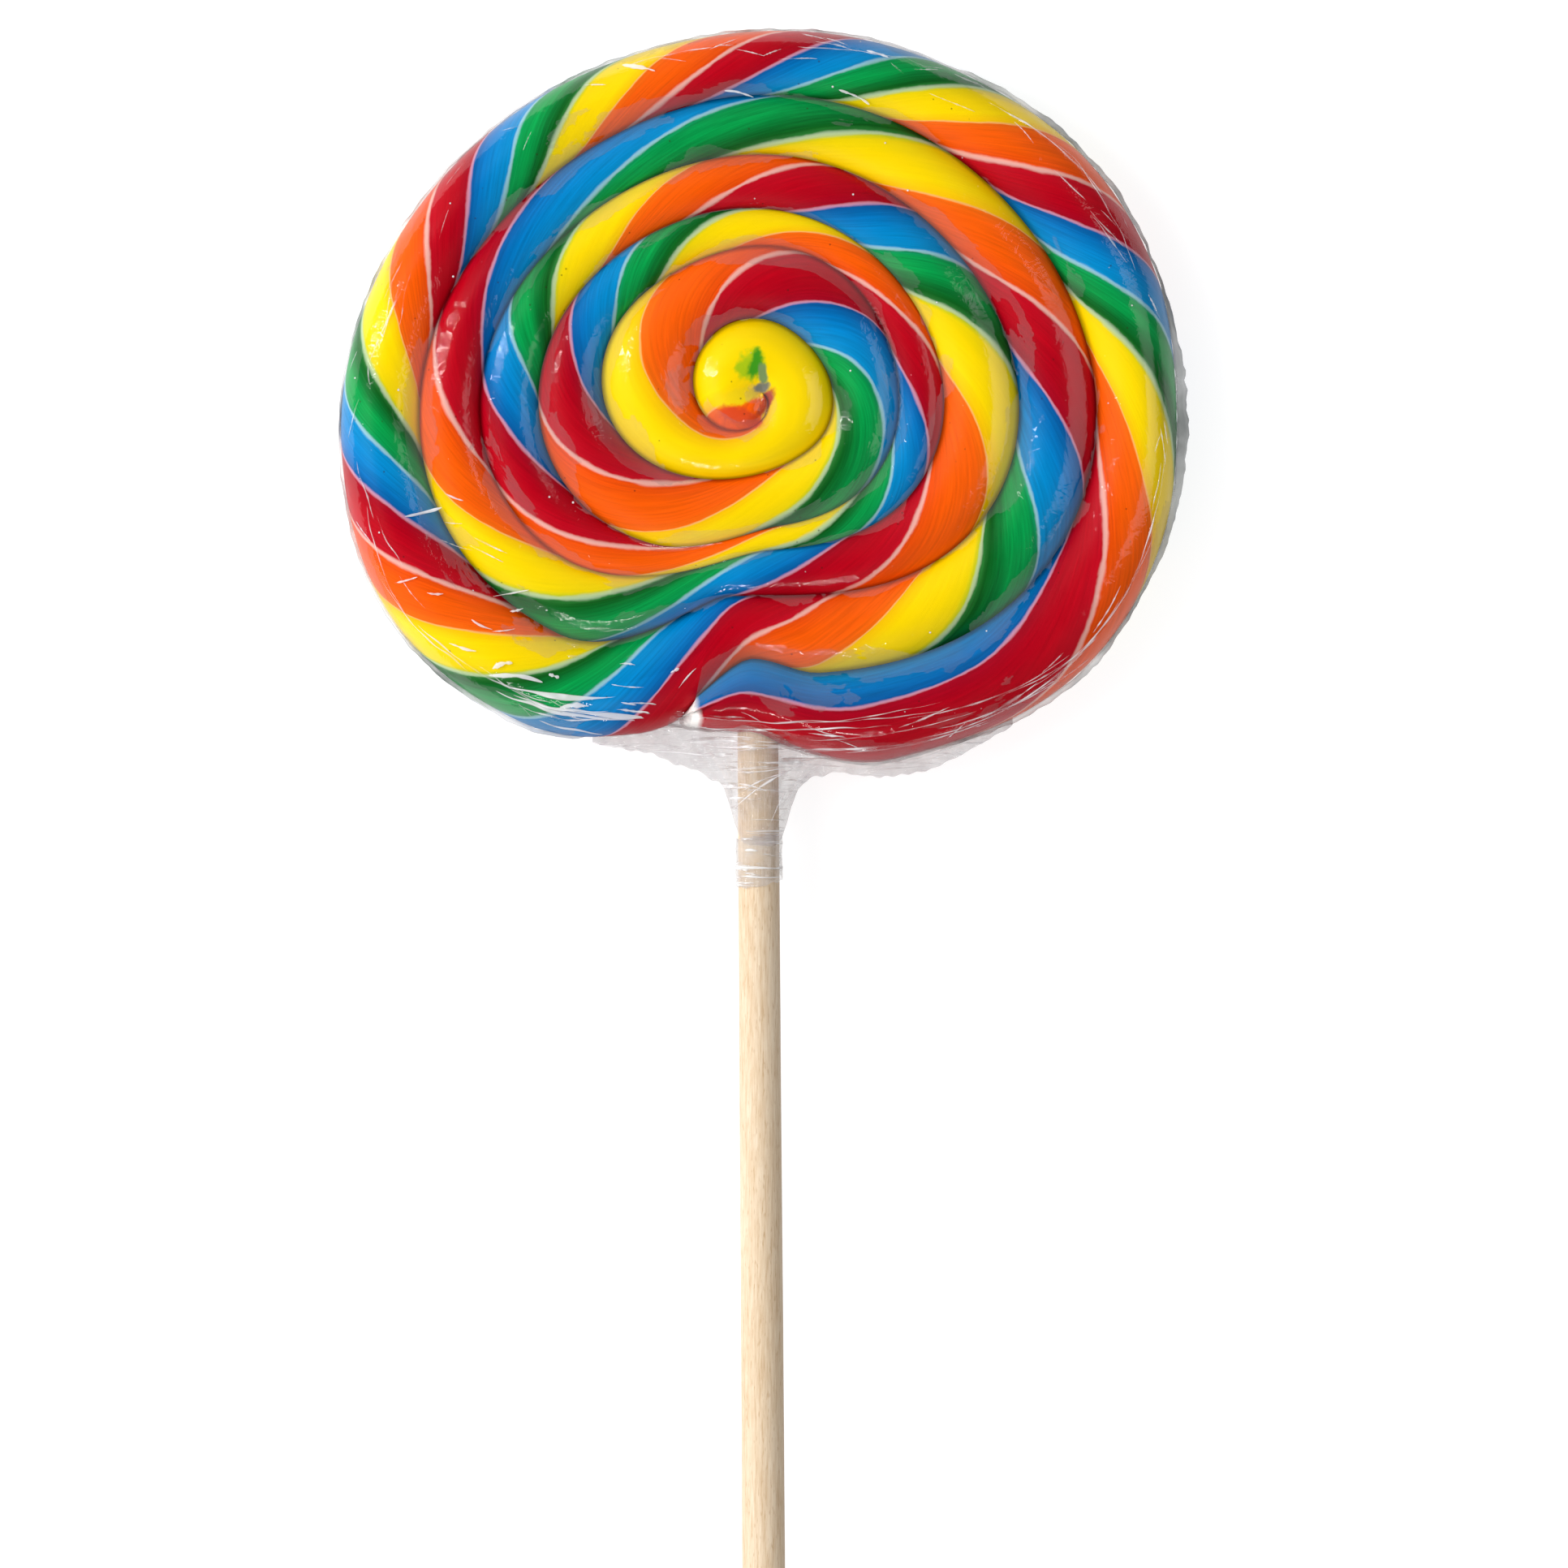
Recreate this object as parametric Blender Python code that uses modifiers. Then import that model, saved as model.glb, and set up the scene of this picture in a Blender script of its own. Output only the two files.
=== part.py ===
"""Swirl lollipop, lying on its back with the swirl up.

One hand-rolled rope of hard candy is wound flat into a spiral head, a wooden
stick runs into the head's rim, and clear film is gathered and taped round the
stick under the head. X is to the right, +Y points from the stick to the top
of the head, +Z is up through the swirl. The origin is the middle of the
head's back.
"""

import math

import bmesh
import bpy
from mathutils import Matrix, Vector

MM = 0.001

# Winding. The rope starts at its tail, below the head, and runs inwards
# anticlockwise. Angles are degrees from +X, counted on from turn to turn.
TAIL_ANGLE = 258
FULL_TURN = 360
COLUMN_STEP = 10

# The rope's edge lies on one ring for most of a turn and then drops to the
# next one inside it. A ring is its mean radius, its shift right and up, its
# oval along X and aslant, and its three-lobed form along X and aslant, in mm.
RINGS = (
    (66.0, 0.6, -2.6, 4.0, 0.8, -0.2, -1.2),
    (52.0, 0.0, -0.2, 4.0, 0.2, -0.4, -1.6),
    (40.6, -1.4, 1.4, 4.0, 0.0, -0.4, -1.6),
    (31.0, -2.8, 1.2, 2.6, 0.0, -0.4, -1.0),
    (24.8, -2.6, 0.2, 1.4, 0.6, -0.6, -0.8),
    (12.0, 0.0, 0.0, -0.2, -0.4, 0.2, -0.2),
)
# Middle and half length, in degrees, of the drop from each ring to the next.
DROPS = ((254, 15), (606, 16), (966, 28), (1336, 23), (1661, 89))
TAIL_DRAW = 7.3 * MM  # how far the tail's outer side draws in
TAIL_DRAW_START = 264  # it keeps that to here
TAIL_DRAW_SPAN = 26  # degrees over which it swings back out
TUCK_BULGE = 2.0 * MM  # rim of the outer turn where it dips in behind the tail
# Swells of the rope's edge: middle angle, half length in degrees, height in
# mm. The first five are in the head's outline. At the last the tail swells
# inwards where the stick runs in.
SWELLS = (
    (-41, 27, 1.4),
    (34, 27, 1.1),
    (135, 36, 0.8),
    (213, 24, 1.2),
    (243, 9, -1.2),
    (268, 14, -2.6),
)
CORE_START = 1950  # the rope's edge curls from here to the centre
CORE_END = 2160

# Cross-section of the rope.
HEAD_THICKNESS = 17.0 * MM
MID_HEIGHT = HEAD_THICKNESS / 2
GROOVE_SHARE = 0.27  # groove depth for each unit of rope width
GROOVE_LEAST = 1.3 * MM
GROOVE_MOST = 4.2 * MM
FLANK_ROUNDNESS = 0.9  # 1 would stand upright in the groove
SECTION = (-1.0, -0.75, -0.38, 0.0, 0.38, 0.75, 1.0)
FLAT_SHARE = 0.38  # middle of the back that is pressed flat
FLAT_CORE_RADIUS = 6.0 * MM  # the back has no grooves inside this radius
FULL_GROOVE_RADIUS = 16.0 * MM
RIM_ANGLES = (90, 68, 48, 32)  # crest to shoulder, seen from the section's middle
RIM_STEPS = 4

# Stick.
STICK_RADIUS_TOP = 3.4 * MM
STICK_RADIUS_END = 3.6 * MM
STICK_LENGTH = 216.0 * MM
STICK_DEPTH = 28.0 * MM  # how far it goes into the head
STICK_RIM_X = -0.5 * MM
STICK_RIM_Y = -55.0 * MM
STICK_LEAN = math.radians(0.4)
STICK_CHAMFER = 0.4 * MM

# Film gathered under the head, and the tape round its lower end.
GAP = 0.3 * MM
# Lower edge of the web of film from its left end to its right, in mm, where
# it isn't drawn down into the neck.
WEB_EDGE = (
    (-28.0, -58.0),
    (-20.0, -59.3),
    (-15.0, -61.0),
    (-8.0, -63.4),
    (0.0, -63.4),
    (7.0, -63.8),
    (12.0, -62.8),
    (18.0, -63.6),
    (24.0, -63.3),
    (29.0, -62.1),
    (33.0, -60.2),
    (38.0, -57.4),
    (42.0, -55.0),
)
WEB_LEAST = 0.9 * MM  # how far the web stands out from the rim at its ends
WEB_THICK = 3.2 * MM  # half thickness at the candy
WEB_THIN = 0.4 * MM  # half thickness at the free edge
WEB_ROWS = 8
WEB_COLUMNS = 35
NECK_RADIUS = 4.9 * MM
NECK_LENGTH = 9.6 * MM
NECK_SHARPNESS = 6
TAPE_TOP_Y = -73.8 * MM
TAPE_LENGTH = 7.0 * MM
TAPE_WALL = 0.45 * MM
ROUND_SIDES = 32


def clear_scene():
    for old in list(bpy.data.objects):
        bpy.data.objects.remove(old, do_unlink=True)


def make_collection(name):
    collection = bpy.data.collections.new(name)
    bpy.context.scene.collection.children.link(collection)
    return collection


def make_material(name, colour, roughness):
    material = bpy.data.materials.new(name)
    material.use_nodes = True
    shader = material.node_tree.nodes["Principled BSDF"]
    shader.inputs["Base Color"].default_value = (*colour, 1.0)
    shader.inputs["Roughness"].default_value = roughness
    shader.inputs["Metallic"].default_value = 0.0
    return material


def finish_object(mesh_builder, name, collection, material=None):
    """Turn a bmesh into a smooth-shaded object in the collection."""
    mesh = bpy.data.meshes.new(name)
    bmesh.ops.recalc_face_normals(mesh_builder, faces=mesh_builder.faces)
    mesh_builder.to_mesh(mesh)
    mesh_builder.free()
    mesh.shade_smooth()
    mesh.set_sharp_from_angle(angle=math.radians(50))
    if material:
        mesh.materials.append(material)
    obj = bpy.data.objects.new(name, mesh)
    collection.objects.link(obj)
    return obj


def smooth_step(share):
    share = min(max(share, 0.0), 1.0)
    return share * share * (3.0 - 2.0 * share)


def ring_radius(ring, angle):
    a = math.radians(angle)
    mean, right, up, oval, oval_aslant, lobe, lobe_aslant = ring
    radius = mean + right * math.cos(a) + up * math.sin(a)
    radius += oval * math.cos(2 * a) + oval_aslant * math.sin(2 * a)
    radius += lobe * math.cos(3 * a) + lobe_aslant * math.sin(3 * a)
    return radius * MM


def edge_radius(angle):
    """Distance of the rope's inner edge from the centre, turn after turn.

    One full turn before the tail it gives the head's outline.
    """
    radius = ring_radius(RINGS[0], angle)
    tail_share = (angle - (TAIL_DRAW_START - FULL_TURN)) / TAIL_DRAW_SPAN
    radius -= TAIL_DRAW * (1.0 - smooth_step(tail_share))
    for (middle, half), ring in zip(DROPS, RINGS[1:]):
        share = smooth_step((angle - middle + half) / (2 * half))
        radius += (ring_radius(ring, angle) - radius) * share
    for middle, half, height in SWELLS:
        off = min(abs(angle - middle) / half, 1.0)
        radius += height * MM * (1.0 - off * off) ** 2
    curl = smooth_step((angle - CORE_START) / (CORE_END - CORE_START))
    return radius * (1.0 - curl)


def flank(share):
    """0 at the rope's crest and 1 in the groove, along a round flank."""
    lowest = math.sqrt(1.0 - FLANK_ROUNDNESS**2)
    height = math.sqrt(1.0 - (FLANK_ROUNDNESS * share) ** 2)
    return (1.0 - height) / (1.0 - lowest)


def groove_depth(width):
    return min(max(GROOVE_SHARE * width, GROOVE_LEAST), GROOVE_MOST)


def edge_depth(angle):
    """Depth of the groove at the rope's inner edge."""
    outside = edge_radius(angle - FULL_TURN)
    inside = edge_radius(angle + FULL_TURN)
    return groove_depth((outside - inside) / 2)


def place(radius, angle, height):
    a = math.radians(angle)
    return Vector((radius * math.cos(a), radius * math.sin(a), height))


def back_height(depth, radius):
    """Height of a groove on the back, which is flat near the centre."""
    fade = FULL_GROOVE_RADIUS - FLAT_CORE_RADIUS
    return depth * smooth_step((radius - FLAT_CORE_RADIUS) / fade)


def groove_pair(builder, angle):
    """The two vertices of the groove at the rope's inner edge."""
    radius = edge_radius(angle)
    depth = edge_depth(angle)
    top = builder.verts.new(place(radius, angle, HEAD_THICKNESS - depth))
    back = builder.verts.new(place(radius, angle, back_height(depth, radius)))
    return top, back


def rim_column(builder, angle):
    """Outer half of the tail turn's section: crest side, then round the rim."""
    outer = edge_radius(angle - FULL_TURN)
    half = (outer - edge_radius(angle)) / 2
    crest = outer - half
    lowest_flat = math.sin(math.radians(RIM_ANGLES[1]))

    def vertex(degrees):
        t = math.radians(degrees)
        rise = math.sin(t) * MID_HEIGHT
        if t < 0:
            rise = max(rise / lowest_flat, -MID_HEIGHT)
        radius = crest + half * math.cos(t)
        return builder.verts.new(place(radius, angle, MID_HEIGHT + rise))

    top = [vertex(a) for a in reversed(RIM_ANGLES)]
    back = [vertex(-a) for a in reversed(RIM_ANGLES)]
    shoulder = RIM_ANGLES[-1]
    step = 2 * shoulder / RIM_STEPS
    rim = [vertex(shoulder - step * i) for i in range(1, RIM_STEPS)]
    return top, [top[0], *rim, back[0]], back


def groove_column(builder, angle, outer_pair, inner_pair, shares):
    """Points of a section between two grooves, on the top and on the back."""
    outer = edge_radius(angle - FULL_TURN)
    inner = edge_radius(angle)
    middle = (outer + inner) / 2
    half = (outer - inner) / 2
    pairs = (outer_pair, inner_pair)
    crest = (outer_pair[0].co.z + inner_pair[0].co.z) / 2
    crest = min(crest + groove_depth(outer - inner), HEAD_THICKNESS)
    top, back = [], []
    for s in shares:
        groove_top, groove_back = pairs[0 if s < 0 else 1]
        radius = middle - half * s
        height = crest - (crest - groove_top.co.z) * flank(abs(s))
        top.append(builder.verts.new(place(radius, angle, height)))
        pressed = max(abs(s) - FLAT_SHARE, 0.0) / (1.0 - FLAT_SHARE)
        height = groove_back.co.z * flank(pressed)
        back.append(builder.verts.new(place(radius, angle, height)))
    return top, back


def add_face(builder, corners):
    """Add a face, leaving out repeated corners where the section closes up."""
    ring = []
    for corner in corners:
        if corner not in ring:
            ring.append(corner)
    if len(ring) > 2:
        builder.faces.new(ring)


def bridge(builder, first, second):
    for i in range(len(first) - 1):
        corners = (first[i], first[i + 1], second[i + 1], second[i])
        add_face(builder, corners)


def cap_tail(builder, top, back, outer_rim, inner_rim):
    """Close the tail's blunt end between its top, back and two rim lines."""
    lines = [outer_rim]
    for j in range(1, len(top) - 1):
        share = j / (len(top) - 1)
        line = [top[j]]
        for i in range(1, RIM_STEPS):
            down = i / RIM_STEPS
            chord = top[j].co.lerp(back[j].co, down)
            outer_chord = top[0].co.lerp(back[0].co, down)
            inner_chord = top[-1].co.lerp(back[-1].co, down)
            bulge = (outer_rim[i].co - outer_chord) * (1.0 - share)
            bulge += (inner_rim[i].co - inner_chord) * share
            line.append(builder.verts.new(chord + bulge))
        lines.append([*line, back[j]])
    lines.append(inner_rim)
    for first, second in zip(lines, lines[1:]):
        bridge(builder, first, second)


def make_candy(collection):
    """The head: every turn shares its grooves with the turns beside it."""
    builder = bmesh.new()
    turn_columns = FULL_TURN // COLUMN_STEP
    edge_columns = (CORE_END - TAIL_ANGLE) // COLUMN_STEP
    centre_top = HEAD_THICKNESS - edge_depth(CORE_END)
    centre = (
        builder.verts.new((0.0, 0.0, centre_top)),
        builder.verts.new((0.0, 0.0, 0.0)),
    )
    columns = edge_columns + turn_columns
    angles = [TAIL_ANGLE + COLUMN_STEP * i for i in range(columns)]
    pairs = [groove_pair(builder, a) for a in angles[:edge_columns]]
    pairs += [centre] * turn_columns

    tops, backs, rims = [], [], []
    inner_half = [s for s in SECTION if 0 < s < 1]
    both_halves = [s for s in SECTION if abs(s) < 1]
    for i, (angle, pair) in enumerate(zip(angles, pairs)):
        if i < turn_columns:
            outer_top, rim, outer_back = rim_column(builder, angle)
            rims.append(rim)
            outer_pair = (outer_top[0], outer_back[0])
            shares = inner_half
        else:
            outer_pair = pairs[i - turn_columns]
            outer_top, outer_back = [outer_pair[0]], [outer_pair[1]]
            shares = both_halves
        top, back = groove_column(builder, angle, outer_pair, pair, shares)
        tops.append([*outer_top, *top, pair[0]])
        backs.append([*outer_back, *back, pair[1]])
    rims.append(last_rim(builder, *pairs[0]))
    for rows in (tops, backs, rims):
        for first, second in zip(rows, rows[1:]):
            bridge(builder, first, second)
    for row, end in ((tops[-1], centre[0]), (backs[-1], centre[1])):
        bridge(builder, row, [end] * len(row))
    cap_tail(builder, tops[0], backs[0], rims[0], rims[-1])
    material = make_material("hard_candy", (0.78, 0.16, 0.03), 0.12)
    return finish_object(builder, "candy_swirl", collection, material)


def last_rim(builder, top, back):
    """Rim line where the outer turn dips in behind the tail."""
    line = [top]
    radius = edge_radius(TAIL_ANGLE)
    for i in range(1, RIM_STEPS):
        down = i / RIM_STEPS
        out = radius + TUCK_BULGE * math.sin(math.pi * down)
        height = top.co.z + (back.co.z - top.co.z) * down
        line.append(builder.verts.new(place(out, TAIL_ANGLE, height)))
    return [*line, back]


def stick_frame(along):
    """Matrix of a point on the stick's axis, along it from the head's rim."""
    turn = Matrix.Rotation(STICK_LEAN, 4, "Z") @ Matrix.Rotation(math.pi / 2, 4, "X")
    rim = Matrix.Translation((STICK_RIM_X, STICK_RIM_Y, MID_HEIGHT))
    return rim @ turn @ Matrix.Translation((0.0, 0.0, along))


def make_rod(name, collection, start, length, radii, material=None):
    """A round bar on the stick's axis, from start and on away from the head."""
    builder = bmesh.new()
    bmesh.ops.create_cone(
        builder,
        cap_ends=True,
        segments=ROUND_SIDES,
        radius1=radii[0],
        radius2=radii[1],
        depth=length,
    )
    obj = finish_object(builder, name, collection, material)
    obj.matrix_world = stick_frame(start + length / 2)
    return obj


def make_stick(collection):
    material = make_material("birch_dowel", (0.76, 0.58, 0.38), 0.55)
    radii = (STICK_RADIUS_TOP, STICK_RADIUS_END)
    stick = make_rod("stick", collection, -STICK_DEPTH, STICK_LENGTH, radii, material)
    edge = stick.modifiers.new("worn ends", "BEVEL")
    edge.width = STICK_CHAMFER
    edge.segments = 2
    edge.limit_method = "ANGLE"
    edge.angle_limit = math.radians(60)
    return stick


def cut(target, cutter):
    cutter.hide_render = True
    cutter.display_type = "WIRE"
    hole = target.modifiers.new("hole for " + cutter.name, "BOOLEAN")
    hole.operation = "DIFFERENCE"
    hole.solver = "EXACT"
    hole.object = cutter


def outline_corners():
    """Corners of the head's outline, from the tail round to the tail."""
    angles = range(TAIL_ANGLE - FULL_TURN, TAIL_ANGLE + 1, COLUMN_STEP)
    corners = [place(edge_radius(a), a, 0.0) for a in angles]
    corners[-1] += place(TUCK_BULGE, TAIL_ANGLE, 0.0)
    return [*corners, corners[0]]


def outline_y(x):
    """Y of the head's lowest outline at x, along the straight rim facets."""
    corners = outline_corners()
    heights = []
    for a, b in zip(corners, corners[1:]):
        if min(a.x, b.x) <= x <= max(a.x, b.x):
            heights.append(a.lerp(b, (x - a.x) / (b.x - a.x)).y)
    return min(heights)


def web_x(across):
    """X of a column of the web, moved onto a corner of the rim if one is near."""
    left, right = WEB_EDGE[0][0] * MM, WEB_EDGE[-1][0] * MM
    x = left + (right - left) * across
    reach = (right - left) / WEB_COLUMNS / 2
    for corner in outline_corners():
        lowest = corner.y <= outline_y(corner.x) + 1e-9
        if lowest and abs(corner.x - x) <= reach:
            return corner.x
    return x


def web_edge_y(x):
    """Y of the web's lower edge at x, on straight lines between its points."""
    edge = [(px * MM, py * MM) for px, py in WEB_EDGE]
    for (x0, y0), (x1, y1) in zip(edge, edge[1:]):
        if x <= x1:
            return y0 + (y1 - y0) * (x - x0) / (x1 - x0)
    return edge[-1][1]


def make_film_neck(collection):
    """Film that leaves the rim, closes up and hugs the stick."""
    builder = bmesh.new()
    size = 0.5
    bmesh.ops.create_grid(
        builder, x_segments=WEB_COLUMNS, y_segments=WEB_ROWS, size=size
    )
    flat = [(v, v.co.x + size, size - v.co.y) for v in builder.verts]
    front = {v: web_point(across, down) for v, across, down in flat}
    made = bmesh.ops.extrude_face_region(builder, geom=list(builder.faces))
    copies = [v for v in made["geom"] if isinstance(v, bmesh.types.BMVert)]
    for v in copies:
        point, half = web_point(v.co.x + size, size - v.co.y)
        v.co = point - Vector((0.0, 0.0, half))
    for v, (point, half) in front.items():
        v.co = point + Vector((0.0, 0.0, half))
    material = make_material("clear_film", (0.86, 0.86, 0.88), 0.15)
    return finish_object(builder, "film_neck", collection, material)


def web_point(across, down):
    """Middle point and half thickness of the gathered film."""
    spread = 2.0 * across - 1.0
    x = web_x(across)
    neck = 1.0 / (1.0 + abs(x / NECK_RADIUS) ** NECK_SHARPNESS)
    high = outline_y(x) - GAP
    low = min(web_edge_y(x) - NECK_LENGTH * neck, high - WEB_LEAST)
    y = high + (low - high) * down
    side = WEB_THIN + WEB_THICK * (1.0 - down) * (1.0 - spread**2)
    tube = math.sqrt(max(NECK_RADIUS**2 - x**2, 0.0))
    return Vector((x, y, MID_HEIGHT)), math.hypot(side, tube)


def make_neck_tape(collection):
    """A short open tube with a wall, wound round the film's lower end."""
    builder = bmesh.new()
    radius = STICK_RADIUS_TOP + 2 * GAP
    bmesh.ops.create_cone(
        builder,
        cap_ends=False,
        segments=ROUND_SIDES,
        radius1=radius,
        radius2=radius,
        depth=TAPE_LENGTH,
    )
    material = make_material("clear_tape", (0.84, 0.83, 0.82), 0.2)
    tape = finish_object(builder, "neck_tape", collection, material)
    tape.matrix_world = stick_frame(STICK_RIM_Y - TAPE_TOP_Y + TAPE_LENGTH / 2)
    wall = tape.modifiers.new("wall", "SOLIDIFY")
    wall.thickness = TAPE_WALL
    wall.offset = 1.0
    return tape


def main():
    clear_scene()
    parts = make_collection("swirl_lollipop")
    cutters = make_collection("cutters")
    candy = make_candy(parts)
    make_stick(parts)
    neck = make_film_neck(parts)
    make_neck_tape(parts)

    hole = (STICK_RADIUS_TOP + GAP, STICK_RADIUS_END + GAP)
    depth = STICK_DEPTH + GAP
    socket = make_rod("socket_cutter", cutters, -depth, STICK_LENGTH, hole)
    cut(candy, socket)
    cut(neck, socket)


main()
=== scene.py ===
import math
import random
from functools import lru_cache, partial

import bpy
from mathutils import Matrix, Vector, noise


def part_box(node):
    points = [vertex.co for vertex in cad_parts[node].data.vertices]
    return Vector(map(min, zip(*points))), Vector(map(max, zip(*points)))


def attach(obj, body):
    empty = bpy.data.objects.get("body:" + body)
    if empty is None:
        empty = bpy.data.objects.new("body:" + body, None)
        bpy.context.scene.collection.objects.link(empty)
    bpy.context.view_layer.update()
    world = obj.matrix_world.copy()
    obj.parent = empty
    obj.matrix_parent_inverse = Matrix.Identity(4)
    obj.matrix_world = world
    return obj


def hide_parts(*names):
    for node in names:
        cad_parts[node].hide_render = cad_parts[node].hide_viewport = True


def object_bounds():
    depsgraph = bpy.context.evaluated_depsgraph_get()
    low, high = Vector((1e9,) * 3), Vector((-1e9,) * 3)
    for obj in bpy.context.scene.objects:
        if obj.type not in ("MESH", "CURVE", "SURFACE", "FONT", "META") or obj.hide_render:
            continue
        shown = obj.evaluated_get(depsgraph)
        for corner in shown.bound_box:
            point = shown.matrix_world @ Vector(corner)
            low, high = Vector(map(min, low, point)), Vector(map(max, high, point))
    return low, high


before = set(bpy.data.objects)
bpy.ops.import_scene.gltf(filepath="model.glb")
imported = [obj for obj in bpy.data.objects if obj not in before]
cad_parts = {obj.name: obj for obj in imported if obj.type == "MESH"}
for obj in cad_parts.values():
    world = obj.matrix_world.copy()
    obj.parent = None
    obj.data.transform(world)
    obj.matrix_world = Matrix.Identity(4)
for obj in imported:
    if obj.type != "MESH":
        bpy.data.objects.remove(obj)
cadLow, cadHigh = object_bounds()
bpy.ops.object.select_all(action="DESELECT")
print("frame loaded")

mm = 0.001
fullTurn = 360
thinMerge = 0.004 * mm  # sews thin sheets without closing their creases


def smoothStep(share):
    share = min(max(share, 0.0), 1.0)
    return share * share * (3.0 - 2.0 * share)


def mix(a, b, share):
    return a + (b - a) * share


def bump(x, middle, half):
    off = min(abs(x - middle) / half, 1.0)
    return (1.0 - off * off) ** 2


def angleBump(angle, middle, span):
    return bump((angle - middle + 180) % fullTurn - 180, 0, span)


def lifted(wave):
    # a noise wave from 0 to 1
    return 0.5 + 0.5 * wave


def lineThrough(points, x):
    # straight lines between the points, level outside them
    if x <= points[0][0]:
        return points[0][1]
    for (x0, y0), (x1, y1) in zip(points, points[1:]):
        if x <= x1:
            return mix(y0, y1, (x - x0) / (x1 - x0))
    return points[-1][1]


def toLinear(hexColour):
    channels = [int(hexColour[i:i + 2], 16) / 255 for i in (1, 3, 5)]
    linear = [c / 12.92 if c <= 0.04045 else ((c + 0.055) / 1.055) ** 2.4 for c in channels]
    return (*linear, 1.0)


def addNode(tree, kind, inputs=(), stops=(), **settings):
    # inputs are values, sockets or nodes, by name or in the sockets' order
    # stops are a ramp's (place, hex) pairs
    node = tree.nodes.new("ShaderNode" + kind)
    for key, value in settings.items():
        setattr(node, key, value)
    for key, value in inputs.items() if isinstance(inputs, dict) else enumerate(inputs):
        if isinstance(value, bpy.types.Node):
            value = next(socket for socket in value.outputs if socket.enabled)
        if isinstance(value, bpy.types.NodeSocket):
            tree.links.new(value, node.inputs[key])
        else:
            node.inputs[key].default_value = value
    for i, (place, colour) in enumerate(stops):
        if i < 2:
            stop = node.color_ramp.elements[i]
            stop.position = place
        else:
            stop = node.color_ramp.elements.new(place)
        stop.color = toLinear(colour)
    return node


def newMaterial(name):
    # the material, and the call that adds a node to it
    material = bpy.data.materials.new(name)
    material.use_nodes = True
    material.node_tree.nodes.clear()
    return material, partial(addNode, material.node_tree)


def makeSheet(name, columns, rows, pointOf, mapOf=None):
    # a grid laid into shape: pointOf gives millimetres and mapOf the four pattern numbers of (column, row)
    bpy.ops.object.select_all(action="DESELECT")
    bpy.ops.mesh.primitive_grid_add(x_subdivisions=columns, y_subdivisions=rows, size=1, calc_uvs=False)
    sheet = bpy.context.object
    sheet.name = name
    mesh = sheet.data
    cells = [(round((v.co.x + 0.5) * columns), round((v.co.y + 0.5) * rows)) for v in mesh.vertices]
    for vertex, cell in zip(mesh.vertices, cells):
        vertex.co = Vector(pointOf(*cell)) * mm
    if mapOf:
        values = [mapOf(*cell) for cell in cells]
        for layerName, first in (("stripes", 0), ("rope", 2)):
            layer = mesh.uv_layers.new(name=layerName)
            for loop in mesh.loops:
                layer.data[loop.index].uv = values[loop.vertex_index][first:first + 2]
    return sheet


def joinPieces(name, sheets, merge=0.02 * mm, smoothAngle=40):
    # one mesh out of several, sewn where they meet, faces outwards
    bpy.ops.object.select_all(action="DESELECT")
    for sheet in sheets:
        sheet.select_set(True)
    bpy.context.view_layer.objects.active = sheets[0]
    bpy.ops.object.join()
    piece = bpy.context.object
    piece.name = name
    piece.data.name = name
    bpy.ops.object.mode_set(mode="EDIT")
    bpy.ops.mesh.select_all(action="SELECT")
    bpy.ops.mesh.remove_doubles(threshold=merge)
    bpy.ops.mesh.dissolve_degenerate(threshold=merge / 4)
    bpy.ops.mesh.select_all(action="SELECT")
    bpy.ops.mesh.normals_make_consistent(inside=False)
    bpy.ops.object.mode_set(mode="OBJECT")
    bpy.ops.object.shade_smooth_by_angle(angle=math.radians(smoothAngle))
    return piece


def finishPiece(piece, material, slotName, *nodes):
    piece.data.materials.clear()
    piece.data.materials.append(material)
    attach(piece, "root")
    if nodes:
        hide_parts(*nodes)


def around(radius, angle, height):
    a = math.radians(angle)
    return Vector((radius * math.cos(a), radius * math.sin(a), height))


# the winding, in mm and degrees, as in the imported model
winding = {
    "tailAngle": 258,
    "tailDraw": 7.3,
    "tailDrawStart": 264,
    "tailDrawSpan": 26,
    # swells of the rope's edge: middle angle, half span, height. The last is where the stick runs in
    "swells": (
        (-41, 27, 1.4), (34, 27, 1.1), (135, 36, 0.8), (213, 24, 1.2), (243, 9, -1.2), (268, 14, -2.6),
    ),
    "coreStart": 1950,
    "coreEnd": 2160,
    # mean radius, shift right, shift up, oval, oval aslant, three-lobed, lobed aslant
    "rings": (
        (66.0, 0.6, -2.6, 4.0, 0.8, -0.2, -1.2),
        (52.0, 0.0, -0.2, 4.0, 0.2, -0.4, -1.6),
        (40.6, -1.4, 1.4, 4.0, 0.0, -0.4, -1.6),
        (31.0, -2.8, 1.2, 2.6, 0.0, -0.4, -1.0),
        (24.8, -2.6, 0.2, 1.4, 0.6, -0.6, -0.8),
        (12.0, 0.0, 0.0, -0.2, -0.4, 0.2, -0.2),
    ),
    "drops": ((254, 15), (606, 16), (966, 28), (1336, 23), (1661, 89)),  # middle angle, half span
    "thickness": 17.0,
    "grooveShare": 0.27,
    "grooveLeast": 1.3,
    "grooveMost": 4.2,
    "flankRoundness": 0.9,
    "backFlat": 0.38,
    "flatCore": 6.0,
    "fullGroove": 16.0,
    "sinking": (600, 18),  # where the outer turn sinks in behind the tail: angle, span
    "tucking": (606, 12),  # where its rim turns into a valley
    "tuckWall": 32,  # degrees round the rim, up and down, that make the valley's wall
}
tailAngle = winding["tailAngle"]
tuckAngle = tailAngle + fullTurn  # where the outer turn has dipped in behind the tail
coreEnd = winding["coreEnd"]
windingEnd = coreEnd + fullTurn
thickness = winding["thickness"]
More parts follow.
